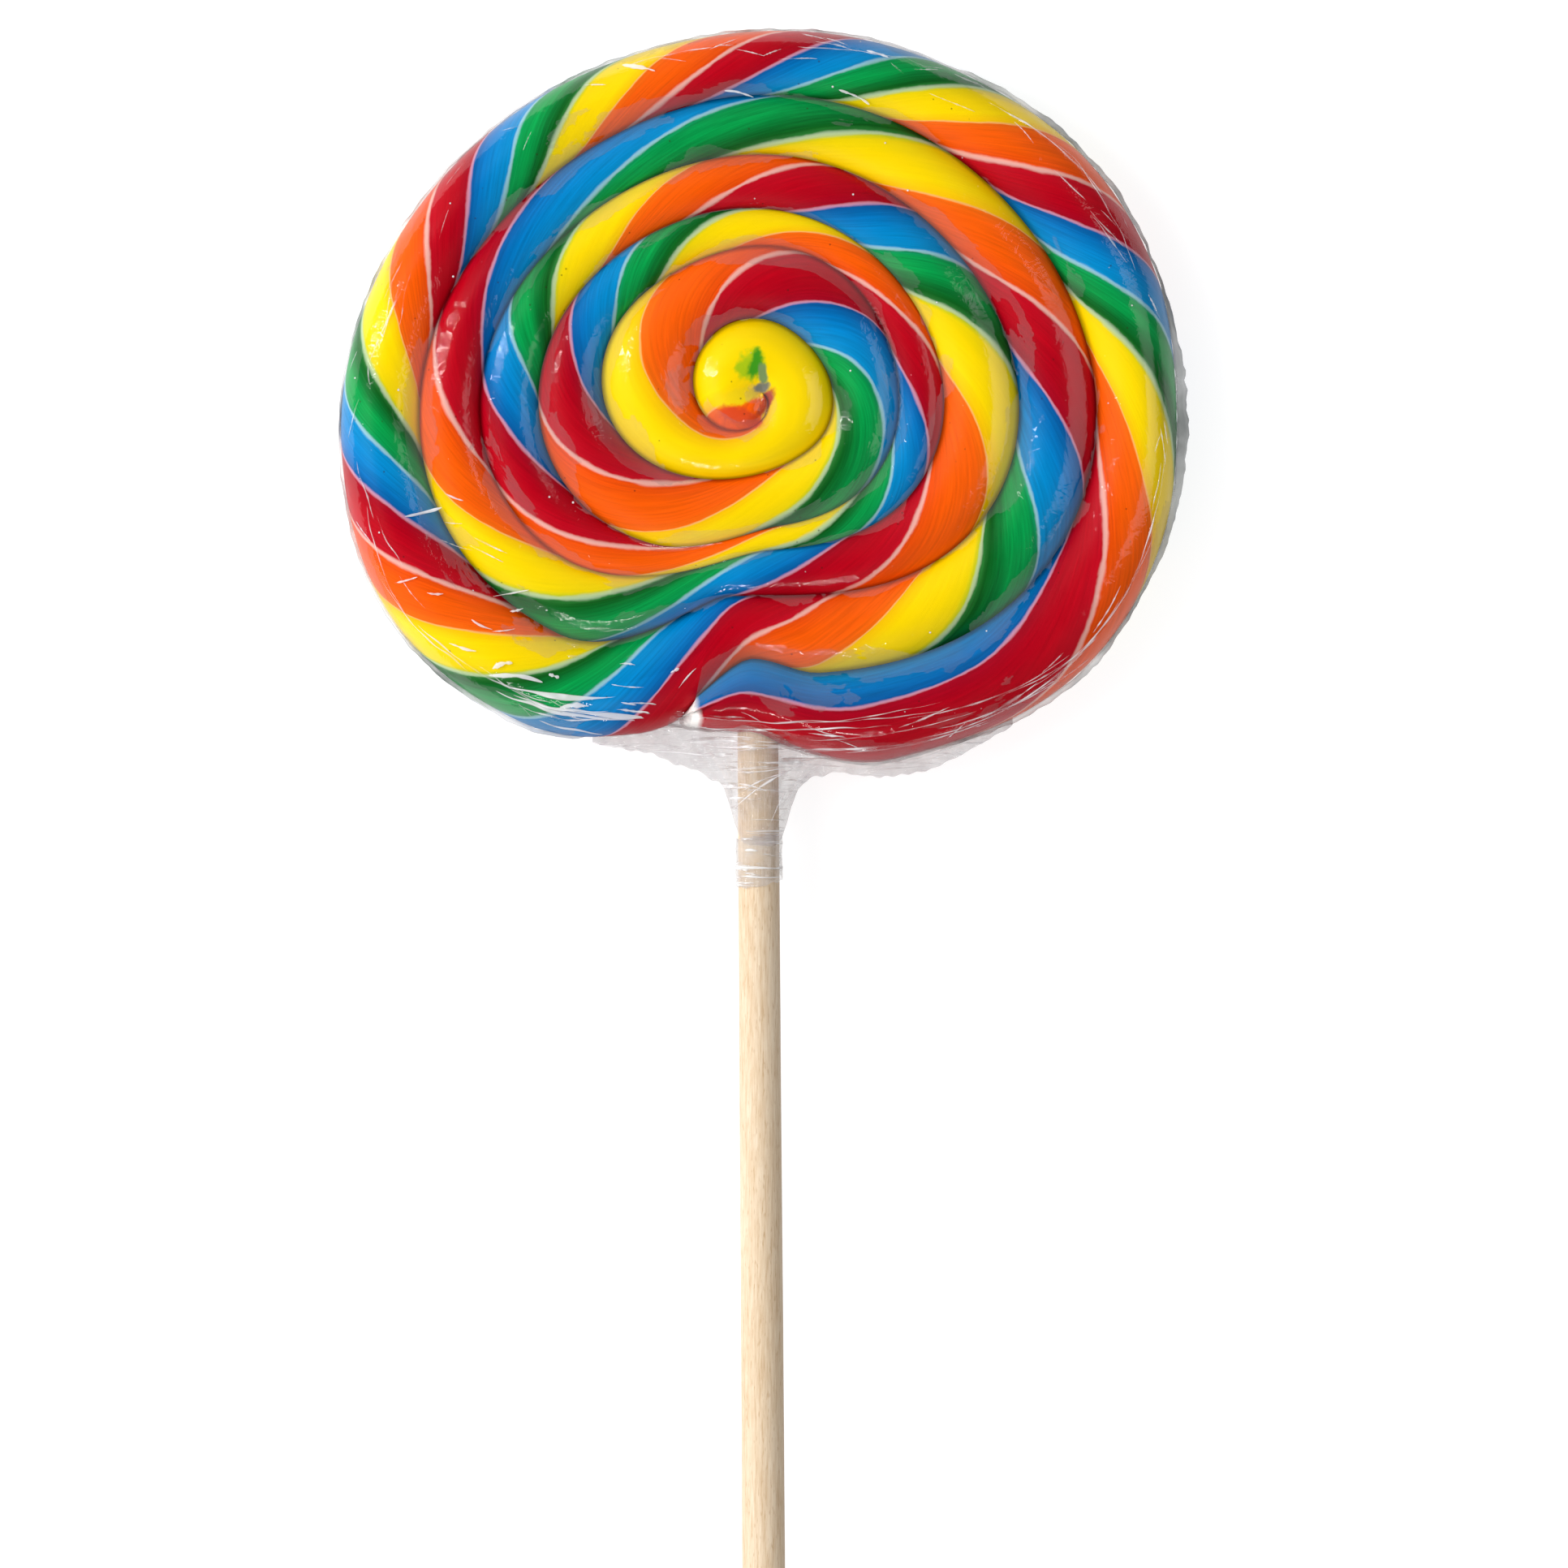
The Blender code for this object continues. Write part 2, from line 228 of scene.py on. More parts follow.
middleHeight = thickness / 2


def ringRadius(ring, angle):
    a = math.radians(angle)
    mean, right, up, oval, ovalAslant, lobe, lobeAslant = ring
    radius = mean + right * math.cos(a) + up * math.sin(a)
    radius += oval * math.cos(2 * a) + ovalAslant * math.sin(2 * a)
    return radius + lobe * math.cos(3 * a) + lobeAslant * math.sin(3 * a)


@lru_cache(maxsize=None)
def edgeRadius(angle):
    # the rope's inner edge, and a turn before the tail the head's outline
    rings = winding["rings"]
    radius = ringRadius(rings[0], angle)
    tailShare = (angle - (winding["tailDrawStart"] - fullTurn)) / winding["tailDrawSpan"]
    radius -= winding["tailDraw"] * (1.0 - smoothStep(tailShare))
    for (middle, half), ring in zip(winding["drops"], rings[1:]):
        share = smoothStep((angle - middle + half) / (2 * half))
        radius += (ringRadius(ring, angle) - radius) * share
    for middle, half, height in winding["swells"]:
        radius += height * bump(angle, middle, half)
    curl = smoothStep((angle - winding["coreStart"]) / (coreEnd - winding["coreStart"]))
    return radius * (1.0 - curl)


def flank(share):
    # 0 at the crest, 1 in the groove
    roundness = winding["flankRoundness"]
    lowest = math.sqrt(1.0 - roundness ** 2)
    return (1.0 - math.sqrt(max(1.0 - (roundness * share) ** 2, 0.0))) / (1.0 - lowest)


def ropeEdges(angle):
    return edgeRadius(angle - fullTurn), edgeRadius(angle)


def grooveDepth(width):
    return min(max(winding["grooveShare"] * width, winding["grooveLeast"]), winding["grooveMost"])


@lru_cache(maxsize=None)
def edgeDepth(angle):
    angle = min(angle, coreEnd)
    return grooveDepth((edgeRadius(angle - fullTurn) - edgeRadius(angle + fullTurn)) / 2)


# the candy: sizes in mm, angles in degrees
candy = {
    "columnStep": 2,
    "topRows": 16,
    "rimRows": 22,
    "backRows": 8,
    "tailRows": 8,
    "filmRoom": 0.15,  # kept free under and over the candy for the film
    "unevenness": 0.45,  # hand rolling
    "unevenSize": 14,
    "tailRound": 5.0,  # degrees of rounding at the blunt tail
    "tailEndHeight": 0.62,
    "tailBulge": 2.0,
    "tuckBulge": 2.0,
    "flangeRetreat": (1.2, -2, 18),  # the rope stands back here and only film fills the outline
    "underside": 68,  # degrees under the rim's middle at which it comes down to the table
    # how far the stripes bunch up at the rope's sides, on the outer turn and inside it
    "spread": (0.97, 0.9),
    "rimShare": 0.6,
    "cutMark": -5.0,  # the stripe count that marks the nipped end
    # angle along the rope, colour count there
    # whole numbers start red, .2 orange, .4 yellow, .6 green, .8 blue
    "stripeMarks": (
        (250, -0.99), (306, -0.96), (333, -0.8), (350, -0.6), (366, -0.4), (387, 0.0), (423, 0.6),
        (446, 1.0),
        (486, 1.6), (506.5, 2.0), (539, 2.6), (557, 3.0), (590.5, 3.6), (613.5, 4.0), (678.5, 4.6),
        (716, 5.0), (793.5, 5.6), (878, 6.0), (947, 6.6), (1000, 7.0), (1101, 7.6), (1144, 8.0),
        (1231.5, 8.6), (1269.5, 9.0), (1373, 9.6), (1433.5, 10.0), (1556, 10.6), (1609.5, 11.0),
        (1744, 11.6), (1813, 11.8), (1858, 12.0), (2003, 12.44), (2190, 12.47), (2330, 12.45),
        (2352, 12.41),
        (2368, 12.35), (2410, 12.29), (2424, 12.31), (2431, 12.36), (2438, 12.43), (2520, 12.47),
    ),
    # share of all five colours that shows across the rope from above, by angle
    "stripeTwist": (
        (300, 0.36), (345, 0.5), (585, 0.5), (606, 0.26), (640, 0.34), (700, 0.27), (1600, 0.25),
        (1800, 0.33), (2000, 0.22), (2120, 0.07),
    ),
}
stripeMarks = candy["stripeMarks"]


def markSlopes():
    slopes = [0.0]
    for before, here, after in zip(stripeMarks, stripeMarks[1:], stripeMarks[2:]):
        rise0 = (here[1] - before[1]) / (here[0] - before[0])
        rise1 = (after[1] - here[1]) / (after[0] - here[0])
        slopes.append(2 * rise0 * rise1 / (rise0 + rise1) if rise0 * rise1 > 0 else 0.0)
    return [*slopes, 0.0]


stripeSlopes = markSlopes()


@lru_cache(maxsize=None)
def stripeCount(angle):
    # a smooth curve through the marks that doesn't turn back between them
    if angle >= stripeMarks[-1][0]:
        return stripeMarks[-1][1]
    i = max(k for k, mark in enumerate(stripeMarks) if mark[0] <= angle) if angle > stripeMarks[0][0] else 0
    (x0, y0), (x1, y1) = stripeMarks[i], stripeMarks[i + 1]
    t = max((angle - x0) / (x1 - x0), 0.0)
    span = x1 - x0
    rest = 1.0 - t
    return (
        y0 * (1 + 2 * t) * rest * rest + y1 * t * t * (3 - 2 * t)
        + span * t * rest * (stripeSlopes[i] * rest - stripeSlopes[i + 1] * t))


def acrossShare(angle, share):
    # colour span across the rope, quicker towards its sides
    steep = candy["spread"][angle >= tuckAngle]
    return math.asin(steep * share) / (2 * math.asin(steep))


def topStripe(angle, share):
    return stripeCount(angle) - lineThrough(candy["stripeTwist"], angle) * acrossShare(angle, share)


def backStripe(angle, share):
    return stripeCount(angle) + 0.5 + lineThrough(candy["stripeTwist"], angle) * acrossShare(angle, share)


def rimStripe(angle, degrees):
    return stripeCount(angle) + lineThrough(candy["stripeTwist"], angle) * (90 - degrees) / 180


@lru_cache(maxsize=None)
def ropeLength(angle):
    if angle <= tailAngle:
        return 0.0
    step = candy["columnStep"]
    return ropeLength(angle - step) + math.radians(step) * (sum(ropeEdges(angle)) / 2)


def settled(angle, change):
    # how far the rope has come through a change of the winding
    start, span = winding[change]
    return smoothStep((angle - start) / span)


def crestHeight(angle):
    outer, inner = ropeEdges(angle)
    outerZ, innerZ = thickness - edgeDepth(angle - fullTurn), thickness - edgeDepth(angle)
    crest = min((outerZ + innerZ) / 2 + grooveDepth(outer - inner), thickness)
    crest = mix(thickness, crest, settled(angle, "sinking"))
    spot = around((outer + inner) / 2, angle, angle / fullTurn * 9) / candy["unevenSize"]
    return crest - candy["unevenness"] * lifted(noise.noise(spot))


def tailRounding(angle):
    # how much of its height the rope keeps near the blunt tail
    x = min(max((angle - tailAngle) / candy["tailRound"], 0.0), 1.0)
    return mix(candy["tailEndHeight"], 1.0, math.sqrt(1.0 - (1.0 - x) ** 2))


def acrossRope(angle, share):
    # radius at a share across the rope, -1 outside to 1 inside, and the angle of the nearer edge
    outer, inner = ropeEdges(angle)
    return (outer + inner) / 2 - (outer - inner) / 2 * share, angle if share > 0 else angle - fullTurn


def topPoint(angle, share):
    radius, edge = acrossRope(angle, share)
    groove = thickness - edgeDepth(edge)
    crest = crestHeight(angle)
    height = crest - (crest - groove) * flank(abs(share))
    if angle < tuckAngle and share > 0:
        height = groove + (height - groove) * tailRounding(angle)
    return around(radius, angle, height)


def backPoint(angle, share):
    radius, edge = acrossRope(angle, share)
    flat, core = winding["backFlat"], winding["flatCore"]
    fade = smoothStep((edgeRadius(edge) - core) / (winding["fullGroove"] - core))
    pressed = max(abs(share) - flat, 0.0) / (1.0 - flat)
    return around(radius, angle, edgeDepth(edge) * fade * flank(pressed))


def rimPoint(angle, degrees):
    # round the rim of the outer turn, 90 at its crest, 0 at the outline, -90 under it
    outer, inner = ropeEdges(angle)
    half = (outer - inner) / 2
    retreat, middle, span = candy["flangeRetreat"]
    reach = half - retreat * angleBump(angle, middle, span)
    t = math.radians(degrees)
    rise = math.sin(t) * (crestHeight(angle) - middleHeight if t > 0 else middleHeight)
    if t < 0:
        rise = max(rise / math.sin(math.radians(candy["underside"])), -middleHeight)
    elif angle < tuckAngle:
        rise *= tailRounding(angle)
    point = around(outer - half + reach * math.cos(t), angle, middleHeight + rise)
    tucked = settled(angle, "tucking")
    return point.lerp(tuckPoint(angle, degrees), tucked) if tucked else point


def tuckPoint(angle, degrees):
    # the same place once the turn lies behind the tail
    wall = winding["tuckWall"]
    if abs(degrees) > wall:
        share = -(90 - abs(degrees)) / (90 - wall)
        return topPoint(angle, share) if degrees > 0 else backPoint(angle, share)
    return tuckSide(angle, -1.0, (wall - degrees) / (2 * wall))


def tuckSide(angle, side, down):
    # the bulged wall between the top and the back at a side of the rope
    high, low = topPoint(angle, side), backPoint(angle, side)
    return high.lerp(low, down) + around(candy["tuckBulge"] * math.sin(math.pi * down), angle, 0)


def candyPlace(point):
    room = candy["filmRoom"]
    return Vector((point.x, point.y, room + point.z * (thickness - 2 * room) / thickness))


def stripePitch(pointOf, stripeOf, angle, place, step):
    # millimetres of surface for one whole count of colours
    here, on, off = pointOf(angle, place), pointOf(angle + 1, place), pointOf(angle, place + step)
    a, b = on - here, off - here
    count = stripeOf(angle, place)
    pa, pb = stripeOf(angle + 1, place) - count, stripeOf(angle, place + step) - count
    area = a.length_squared * b.length_squared - a.dot(b) ** 2
    if area < 1e-9:
        return 60.0
    steep = (pa * pa * b.length_squared - 2 * pa * pb * a.dot(b) + pb * pb * a.length_squared) / area
    return min(max(1 / math.sqrt(max(steep, 1e-9)), 10.0), 150.0)


def makeCandy():
    step = candy["columnStep"]
    firstColumns = fullTurn // step
    restColumns = (windingEnd - tuckAngle) // step
    topRows, rimRows, backRows = candy["topRows"], candy["rimRows"], candy["backRows"]

    def sheetOf(name, start, columns, rows, pointOf, stripeOf, first, last):
        across = (last - first) / rows

        def pointAt(c, r):
            return candyPlace(pointOf(start + step * c, first + across * r))

        def mapAt(c, r):
            angle, place = start + step * c, first + across * r
            pitch = stripePitch(pointOf, stripeOf, angle, place, across / 4 if r < rows else -across / 4)
            sideways = place if rows != rimRows else -min((90 - place) / 90, 1.0) * candy["rimShare"]
            return stripeOf(angle, place), pitch, ropeLength(angle), sideways

        return makeSheet(name, columns, rows, pointAt, mapAt)

    sheets = [
        sheetOf("top outer turn", tailAngle, firstColumns, topRows // 2, topPoint, topStripe, 0.0, 1.0),
        sheetOf("top inner turns", tuckAngle, restColumns, topRows, topPoint, topStripe, -1.0, 1.0),
        sheetOf("rim", tailAngle, firstColumns, rimRows, rimPoint, rimStripe, 90, -90),
        sheetOf("back outer turn", tailAngle, firstColumns, backRows // 2, backPoint, backStripe, 0.0, 1.0),
        sheetOf("back inner turns", tuckAngle, restColumns, backRows, backPoint, backStripe, -1.0, 1.0),
        makeTailEnd(),
    ]
    return joinPieces("candySwirl", sheets, smoothAngle=50)


def makeTailEnd():
    # closes the blunt end of the rope, a little bulged, in the rows of the sheets beside it
    topRows, rimRows, rows = candy["topRows"] // 2, candy["rimRows"], candy["tailRows"]
    middleRim = rimRows // 2
    columns = middleRim + topRows

    def edgeLine(c, side, pointOf):
        # along the top or the back of the end, from the outline inwards
        if c <= middleRim:
            return rimPoint(tailAngle, 90 - 180 * (middleRim - side * c) / rimRows)
        return pointOf(tailAngle, (c - middleRim) / topRows)

    def pointAt(c, r):
        down, across = r / rows, c / columns
        point = edgeLine(c, 1, topPoint).lerp(edgeLine(c, -1, backPoint), down)
        chord = topPoint(tailAngle, 1.0).lerp(backPoint(tailAngle, 1.0), down)
        point += (tuckSide(tailAngle, 1.0, down) - chord) * smoothStep(across)
        out = candy["tailBulge"] * math.sin(math.pi * down) * math.sin(math.pi * across) ** 0.5
        return candyPlace(point + around(out, tailAngle - 90, 0))

    def mapAt(c, r):
        return candy["cutMark"], 60.0, r * 2.0, c * 0.8

    return makeSheet("tail end", columns, rows, pointAt, mapAt)


hardCandy = {
    # boiled sugar, pulled with air until it is opaque: saturated colours, soft white seams, a waxy gloss
    "stripes": (
        (0.0, "#9E0420"), (0.05, "#AC0018"), (0.12, "#B80118"), (0.197, "#BE0A20"),
        (0.203, "#E44A05"), (0.28, "#F25A03"), (0.36, "#F65F08"), (0.397, "#F26A0C"),
        (0.403, "#F6BE04"), (0.45, "#FAD600"), (0.52, "#F8D500"), (0.575, "#ECD004"), (0.598, "#A8BC22"),
        (0.606, "#2E7A34"), (0.63, "#0A5C1A"), (0.67, "#067430"), (0.71, "#039846"), (0.775, "#04964A"),
        (0.798, "#0C8A60"), (0.804, "#0086C0"), (0.88, "#0084C6"), (0.95, "#0070B6"), (0.997, "#045296"),
    ),
    # the seams before red, orange, yellow, green and blue, and half their width in mm
    "seams": ("#D79AB0", "#F0C4B8", "#F6B870", "#B9CCA8", "#A4CEDA"),
    "seamWidths": (0.2, 0.3, 0.11, 0.3, 0.24),
    "seamCore": 0.3,  # the seam's full and faded reach, in half widths, and how white it is
    "seamFade": 1.75,
    "seamWhite": 0.7,
    "seamUneven": (0.62, 1.75),  # narrowest and widest, in half widths
    "sway": 0.012,  # how far the seams wander, in counts of colours
    "swaySize": 7,  # mm
    "raggedSize": 9,
    "streak": 0.55,  # mm between pulled streaks
    "streakTurns": 60.0,  # how fine the streaks are across the stripes, and how stretched along them
    "streakStretch": 0.05,
    "streakiness": (0.65, 0.7, 0.18, 1.25, 0.85),  # how much red, orange, yellow, green and blue show them
    # painted shade in the grooves: where it begins, how dark it gets and its tone
    "paintedShadeStart": 0.84,  # share of the way to the groove where the painted shade begins
    "paintedGrooveShade": 0.5,
    "paintedShadeTone": "#3A2018",
    "endTone": "#F4F0EC",  # the nipped end, and the y in mm between which it turns blue
    "endBlue": (-54, -49.5),
    "pinholes": 3.4,  # mm apart
    # the painted shade inside the pinholes
    "pinholeShadeTone": "#2A1512",
    "foldSize": 2.4,  # mm, how the patches in the heart are swirled
    "foldPull": 1.7,
    # patches in the heart: x, y, turn, half length, half width, colour
    "heart": (
        (-4.2, -0.9, 14, 4.6, 1.5, "#F0CE10"), (-3.4, -3.9, -18, 4.0, 1.5, "#D9481F"),
        (0.9, -1.6, 62, 2.8, 0.9, "#B8472C"), (-1.6, 4.6, 68, 3.2, 2.1, "#A9C214"),
        (-0.8, 4.6, 78, 2.7, 1.2, "#3F961C"), (0.4, 3.0, 100, 1.9, 0.8, "#78905A"),
        (0.1, 0.9, 10, 1.5, 0.8, "#77786A"),
    ),
}


def steadySteps(ramp, amounts):
    # flat grey steps, one for each colour
    ramp.color_ramp.interpolation = "CONSTANT"
    for stop, amount in zip(ramp.color_ramp.elements, amounts):
        stop.color = (amount, amount, amount, 1.0)


def hardCandyMaterial():
    look = hardCandy
    material, node = newMaterial("hardCandy")
    stripes = node("UVMap", uv_map="stripes")
    rope = node("UVMap", uv_map="rope")
    split = node("SeparateXYZ", [stripes])
    ropeSplit = node("SeparateXYZ", [rope])
    count, pitch = split.outputs["X"], split.outputs["Y"]
    place = node("TexCoord").outputs["Object"]

    # hand pulling moves the seams a little
    wander = node("TexNoise", {"Vector": place, "Scale": 1 / (look["swaySize"] * mm), "Detail": 3.0})
    away = node("Math", [wander, -0.5], operation="ADD")
    moved = node("Math", [away, look["sway"], count], operation="MULTIPLY_ADD")
    wrapped = node("Math", [moved], operation="FRACT")
    colour = node("ValToRGB", {"Fac": wrapped}, stops=look["stripes"])

    # streaks that run along the stripes: fine across them, long along them
    along = node("Math", [ropeSplit.outputs["X"], look["streakStretch"]], operation="MULTIPLY")
    turn = node("Math", [count, look["streakTurns"]], operation="MULTIPLY")
    vector = node("CombineXYZ", {"X": turn, "Y": along})
    streaks = node("TexNoise",
        {"Vector": vector, "Scale": 1.0 / look["streak"], "Detail": 4.0, "Roughness": 0.6})
    streaky = node("ValToRGB", {"Fac": wrapped}, stops=[(i * 0.2, "#000000") for i in range(5)])
    steadySteps(streaky, look["streakiness"])
    sway = node("Math", [streaks, -0.52], operation="ADD")
    light = node("Math", [sway, streaky, 1.0], operation="MULTIPLY_ADD")
    shaded = node("Mix", {"Factor": 1.0, "A": colour, "B": light}, data_type="RGBA", blend_type="MULTIPLY")

    # white seams of constant width between the colours
    fifths = node("Math", [moved, 5.0, 0.5], operation="MULTIPLY_ADD")
    seamAt = node("Math", [fifths], operation="FRACT")
    fromSeam = node("Math", [seamAt, -0.5], operation="ADD")
    seamGap = node("Math", [fromSeam], operation="ABSOLUTE")
    fifthPitch = node("Math", [pitch, 0.2], operation="MULTIPLY")
    distance = node("Math", [seamGap, fifthPitch], operation="MULTIPLY")
    seamPlace = node("Math", [moved, 0.1], operation="ADD")
    seamPick = node("Math", [seamPlace], operation="FRACT")
    seamStops = [(i * 0.2, tint) for i, tint in enumerate(look["seams"])]
    seamTint = node("ValToRGB", {"Fac": seamPick}, stops=seamStops)
    seamTint.color_ramp.interpolation = "CONSTANT"
    seamWidth = node("ValToRGB", {"Fac": seamPick}, stops=seamStops)
    steadySteps(seamWidth, look["seamWidths"])
    ragged = node("TexNoise",
        {"Vector": place, "Scale": 1 / (look["raggedSize"] * mm), "Detail": 6.0, "Roughness": 0.62})
    uneven = node("MapRange", [ragged, 0.34, 0.68, *look["seamUneven"]])
    width = node("Math", [seamWidth, uneven], operation="MULTIPLY")
    inner = node("Math", [width, look["seamCore"]], operation="MULTIPLY")
    outer = node("Math", [width, look["seamFade"]], operation="MULTIPLY")
    seam = node("MapRange",
        [distance, inner, outer, look["seamWhite"], 0.0], interpolation_type="SMOOTHSTEP")
    seamed = node("Mix", {"Factor": seam, "A": shaded, "B": seamTint}, data_type="RGBA")

    # painted shade down in the grooves, where the turns press on each other and shadow each other
    sideways = node("Math", [ropeSplit.outputs["Y"]], operation="ABSOLUTE")
    shade = node("MapRange",
        [sideways, look["paintedShadeStart"], 1.0, 0.0, look["paintedGrooveShade"]], interpolation_type="SMOOTHERSTEP")
    withPaintedGrooveShade = node("Mix", {"Factor": shade, "A": seamed, "B": toLinear(look["paintedShadeTone"])},
        data_type="RGBA", blend_type="MULTIPLY")

    # the nipped end has lost its colour
    endNoise = node("Math", [ragged, -3.0, ropeSplit.outputs["X"]], operation="MULTIPLY_ADD")
    placeParts = node("SeparateXYZ", [place])
    pale, blue = look["endBlue"]
    blueSide = node("MapRange", [placeParts.outputs["Y"], pale * mm, blue * mm, 0.0, 1.7])
    endShare = node("Math", [endNoise, blueSide], operation="ADD")
    bleached = node("MapRange", [endShare, -0.6, 0.5, 1.0, 0.0])
    heart = node("Mix",
        {"Factor": bleached, "A": withPaintedGrooveShade, "B": toLinear(look["endTone"])}, data_type="RGBA")

    # little folded-in patches of other colours in the heart of the swirl
    swirl = node("TexNoise",
        {"Vector": place, "Scale": 1 / (look["foldSize"] * mm), "Detail": 4.0, "Roughness": 0.6})
    swirled = node("Math", [swirl, -0.5], operation="ADD")
    for x, y, turnBy, long, wide, tint in look["heart"]:
        spot = node("Mapping",
            {"Vector": place, "Location": (x * mm, y * mm, 0), "Rotation": (0, 0, math.radians(turnBy)),
            "Scale": (long * mm, wide * mm, 1.0)}, vector_type="TEXTURE")
        off = node("VectorMath", [spot], operation="LENGTH")
        wavy = node("Math", [swirled, look["foldPull"], off], operation="MULTIPLY_ADD")
        inside = node("MapRange", [wavy, 0.6, 1.2, 1.0, 0.0], interpolation_type="SMOOTHSTEP")
        heart = node("Mix", {"Factor": inside, "A": heart, "B": toLinear(tint)}, data_type="RGBA")

    # tiny dark pinholes where air bubbles broke the surface; the mesh has no holes, so the shade inside
    # them is painted
    holes = node("TexVoronoi", {"Vector": place, "Scale": 1 / (look["pinholes"] * mm), "Randomness": 1.0})
    pinholeShade = node("MapRange", [holes, 0.035, 0.06, 0.55, 0.0])
    withPinholeShade = node("Mix", {"Factor": pinholeShade, "A": heart, "B": toLinear(look["pinholeShadeTone"])}, data_type="RGBA")

    relief = node("Bump", {"Height": streaks, "Strength": 0.25, "Distance": 0.15 * mm})
    shine = node("MapRange", [wander, 0.3, 0.7, 0.3, 0.42])
    shader = node("BsdfPrincipled", {"Base Color": withPinholeShade, "Roughness": shine,
        "Normal": relief, "IOR": 1.5, "Specular IOR Level": 0.12})
    node("OutputMaterial", [shader])
    return material


def cutSugarMaterial():
    # where the rope was nipped off, the airy white inside shows
    material, node = newMaterial("cutPulledSugar")
    place = node("TexCoord").outputs["Object"]
    grain = node("TexNoise", {"Vector": place, "Scale": 1 / (1.2 * mm), "Detail": 4.0})
    colour = node("ValToRGB", {"Fac": grain}, stops=((0.3, "#DCD9D6"), (0.7, "#F8F6F2"), (0.52, "#F1ECE8")))
    relief = node("Bump", {"Height": grain, "Strength": 0.4, "Distance": 0.2 * mm})
    shader = node("BsdfPrincipled", {"Base Color": colour, "Roughness": 0.4, "Normal": relief})
    node("OutputMaterial", [shader])
    return material


candySwirl = makeCandy()
finishPiece(candySwirl, hardCandyMaterial(), "candy", "candy_swirl")
candySwirl.data.materials.append(cutSugarMaterial())
stripeLayer = candySwirl.data.uv_layers["stripes"].data
for face in candySwirl.data.polygons:
    if stripeLayer[face.loop_start].uv[0] < candy["cutMark"] + 1:
        face.material_index = 1
print("candy wound:", len(candySwirl.data.polygons), "faces")


# the stick, in mm
stick = {
    "sides": 64,
    "radiusTop": 3.4,
    "radiusEnd": 3.6,
    "start": -52.0,  # y where it is hidden inside the candy
    "rimX": -0.5,
    "rimY": -55.0,
    "lean": math.radians(0.4),
    "chamfer": 0.4,
    "joints": 48,
    "unevenness": 0.05,
    "unevenWaves": 400,  # to a metre
}
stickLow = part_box("stick")[0]


def stickX(y):
    # x of the leaning stick's middle at y
    return stick["rimX"] + math.tan(stick["lean"]) * (stick["rimY"] - y)


def makeStick():
    bpy.ops.object.select_all(action="DESELECT")
    length = (stick["start"] * mm - stickLow.y) / math.cos(stick["lean"])
    startX = stick["rimX"] - math.tan(stick["lean"]) * (stick["rimY"] - stick["start"])
    bpy.ops.mesh.primitive_circle_add(
        vertices=stick["sides"], radius=stick["radiusTop"] * mm, fill_type="NGON",
        location=(startX * mm, stick["start"] * mm, middleHeight * mm),
        rotation=(math.pi / 2, 0, stick["lean"]))
    rod = bpy.context.object
    bpy.ops.object.transform_apply(location=True, rotation=True, scale=True)
    joints = stick["joints"]
    grow = (stick["radiusEnd"] / stick["radiusTop"]) ** (1 / joints)
    chamfer = stick["chamfer"] * mm
    direction = Vector((math.sin(stick["lean"]), -math.cos(stick["lean"]), 0))
    centre = sum((v.co for v in rod.data.vertices), Vector()) / len(rod.data.vertices)
    bpy.ops.object.mode_set(mode="EDIT")
    bpy.ops.mesh.select_all(action="SELECT")
    reach = 0.0
    stops = [(length - chamfer) * (i + 1) / joints for i in range(joints)] + [length]
    for i, stop in enumerate(stops):
        bpy.ops.mesh.extrude_region_move(TRANSFORM_OT_translate={"value": direction * (stop - reach)})
        reach = stop
        scale = grow if i < joints else 1 - stick["chamfer"] / stick["radiusEnd"]
        bpy.ops.transform.resize(value=(scale, scale, scale), center_override=centre + direction * reach)
    bpy.ops.mesh.select_all(action="SELECT")
    bpy.ops.mesh.normals_make_consistent(inside=False)
    bpy.ops.object.mode_set(mode="OBJECT")
    for vertex in rod.data.vertices:  # a turned dowel is never quite even
        spot = Vector((vertex.co.x, vertex.co.y * 0.15, vertex.co.z)) * stick["unevenWaves"]
        off = noise.noise(spot) * stick["unevenness"] * mm
        axis = centre + direction * (vertex.co - centre).dot(direction)
        out = vertex.co - axis
        if out.length > mm:
            vertex.co += out.normalized() * off
    bpy.ops.object.shade_smooth_by_angle(angle=math.radians(35))
    rod.name = "stickDowel"
    rod.data.name = "stickDowel"
    return rod


birch = {
    "tones": ((0.3, "#C4A27C"), (0.72, "#F0DFC8"), (0.44, "#DBC1A0"), (0.57, "#E7D2B6")),
    "fibre": 0.32,  # mm across
    "fibreLength": 5.5,
    "fleck": 0.28,
    "fleckLength": 1.8,
    "fleckTone": "#B58A58",
    "band": 2.2,  # mm, the broad light and dark bands
    "bandLength": 60,
}


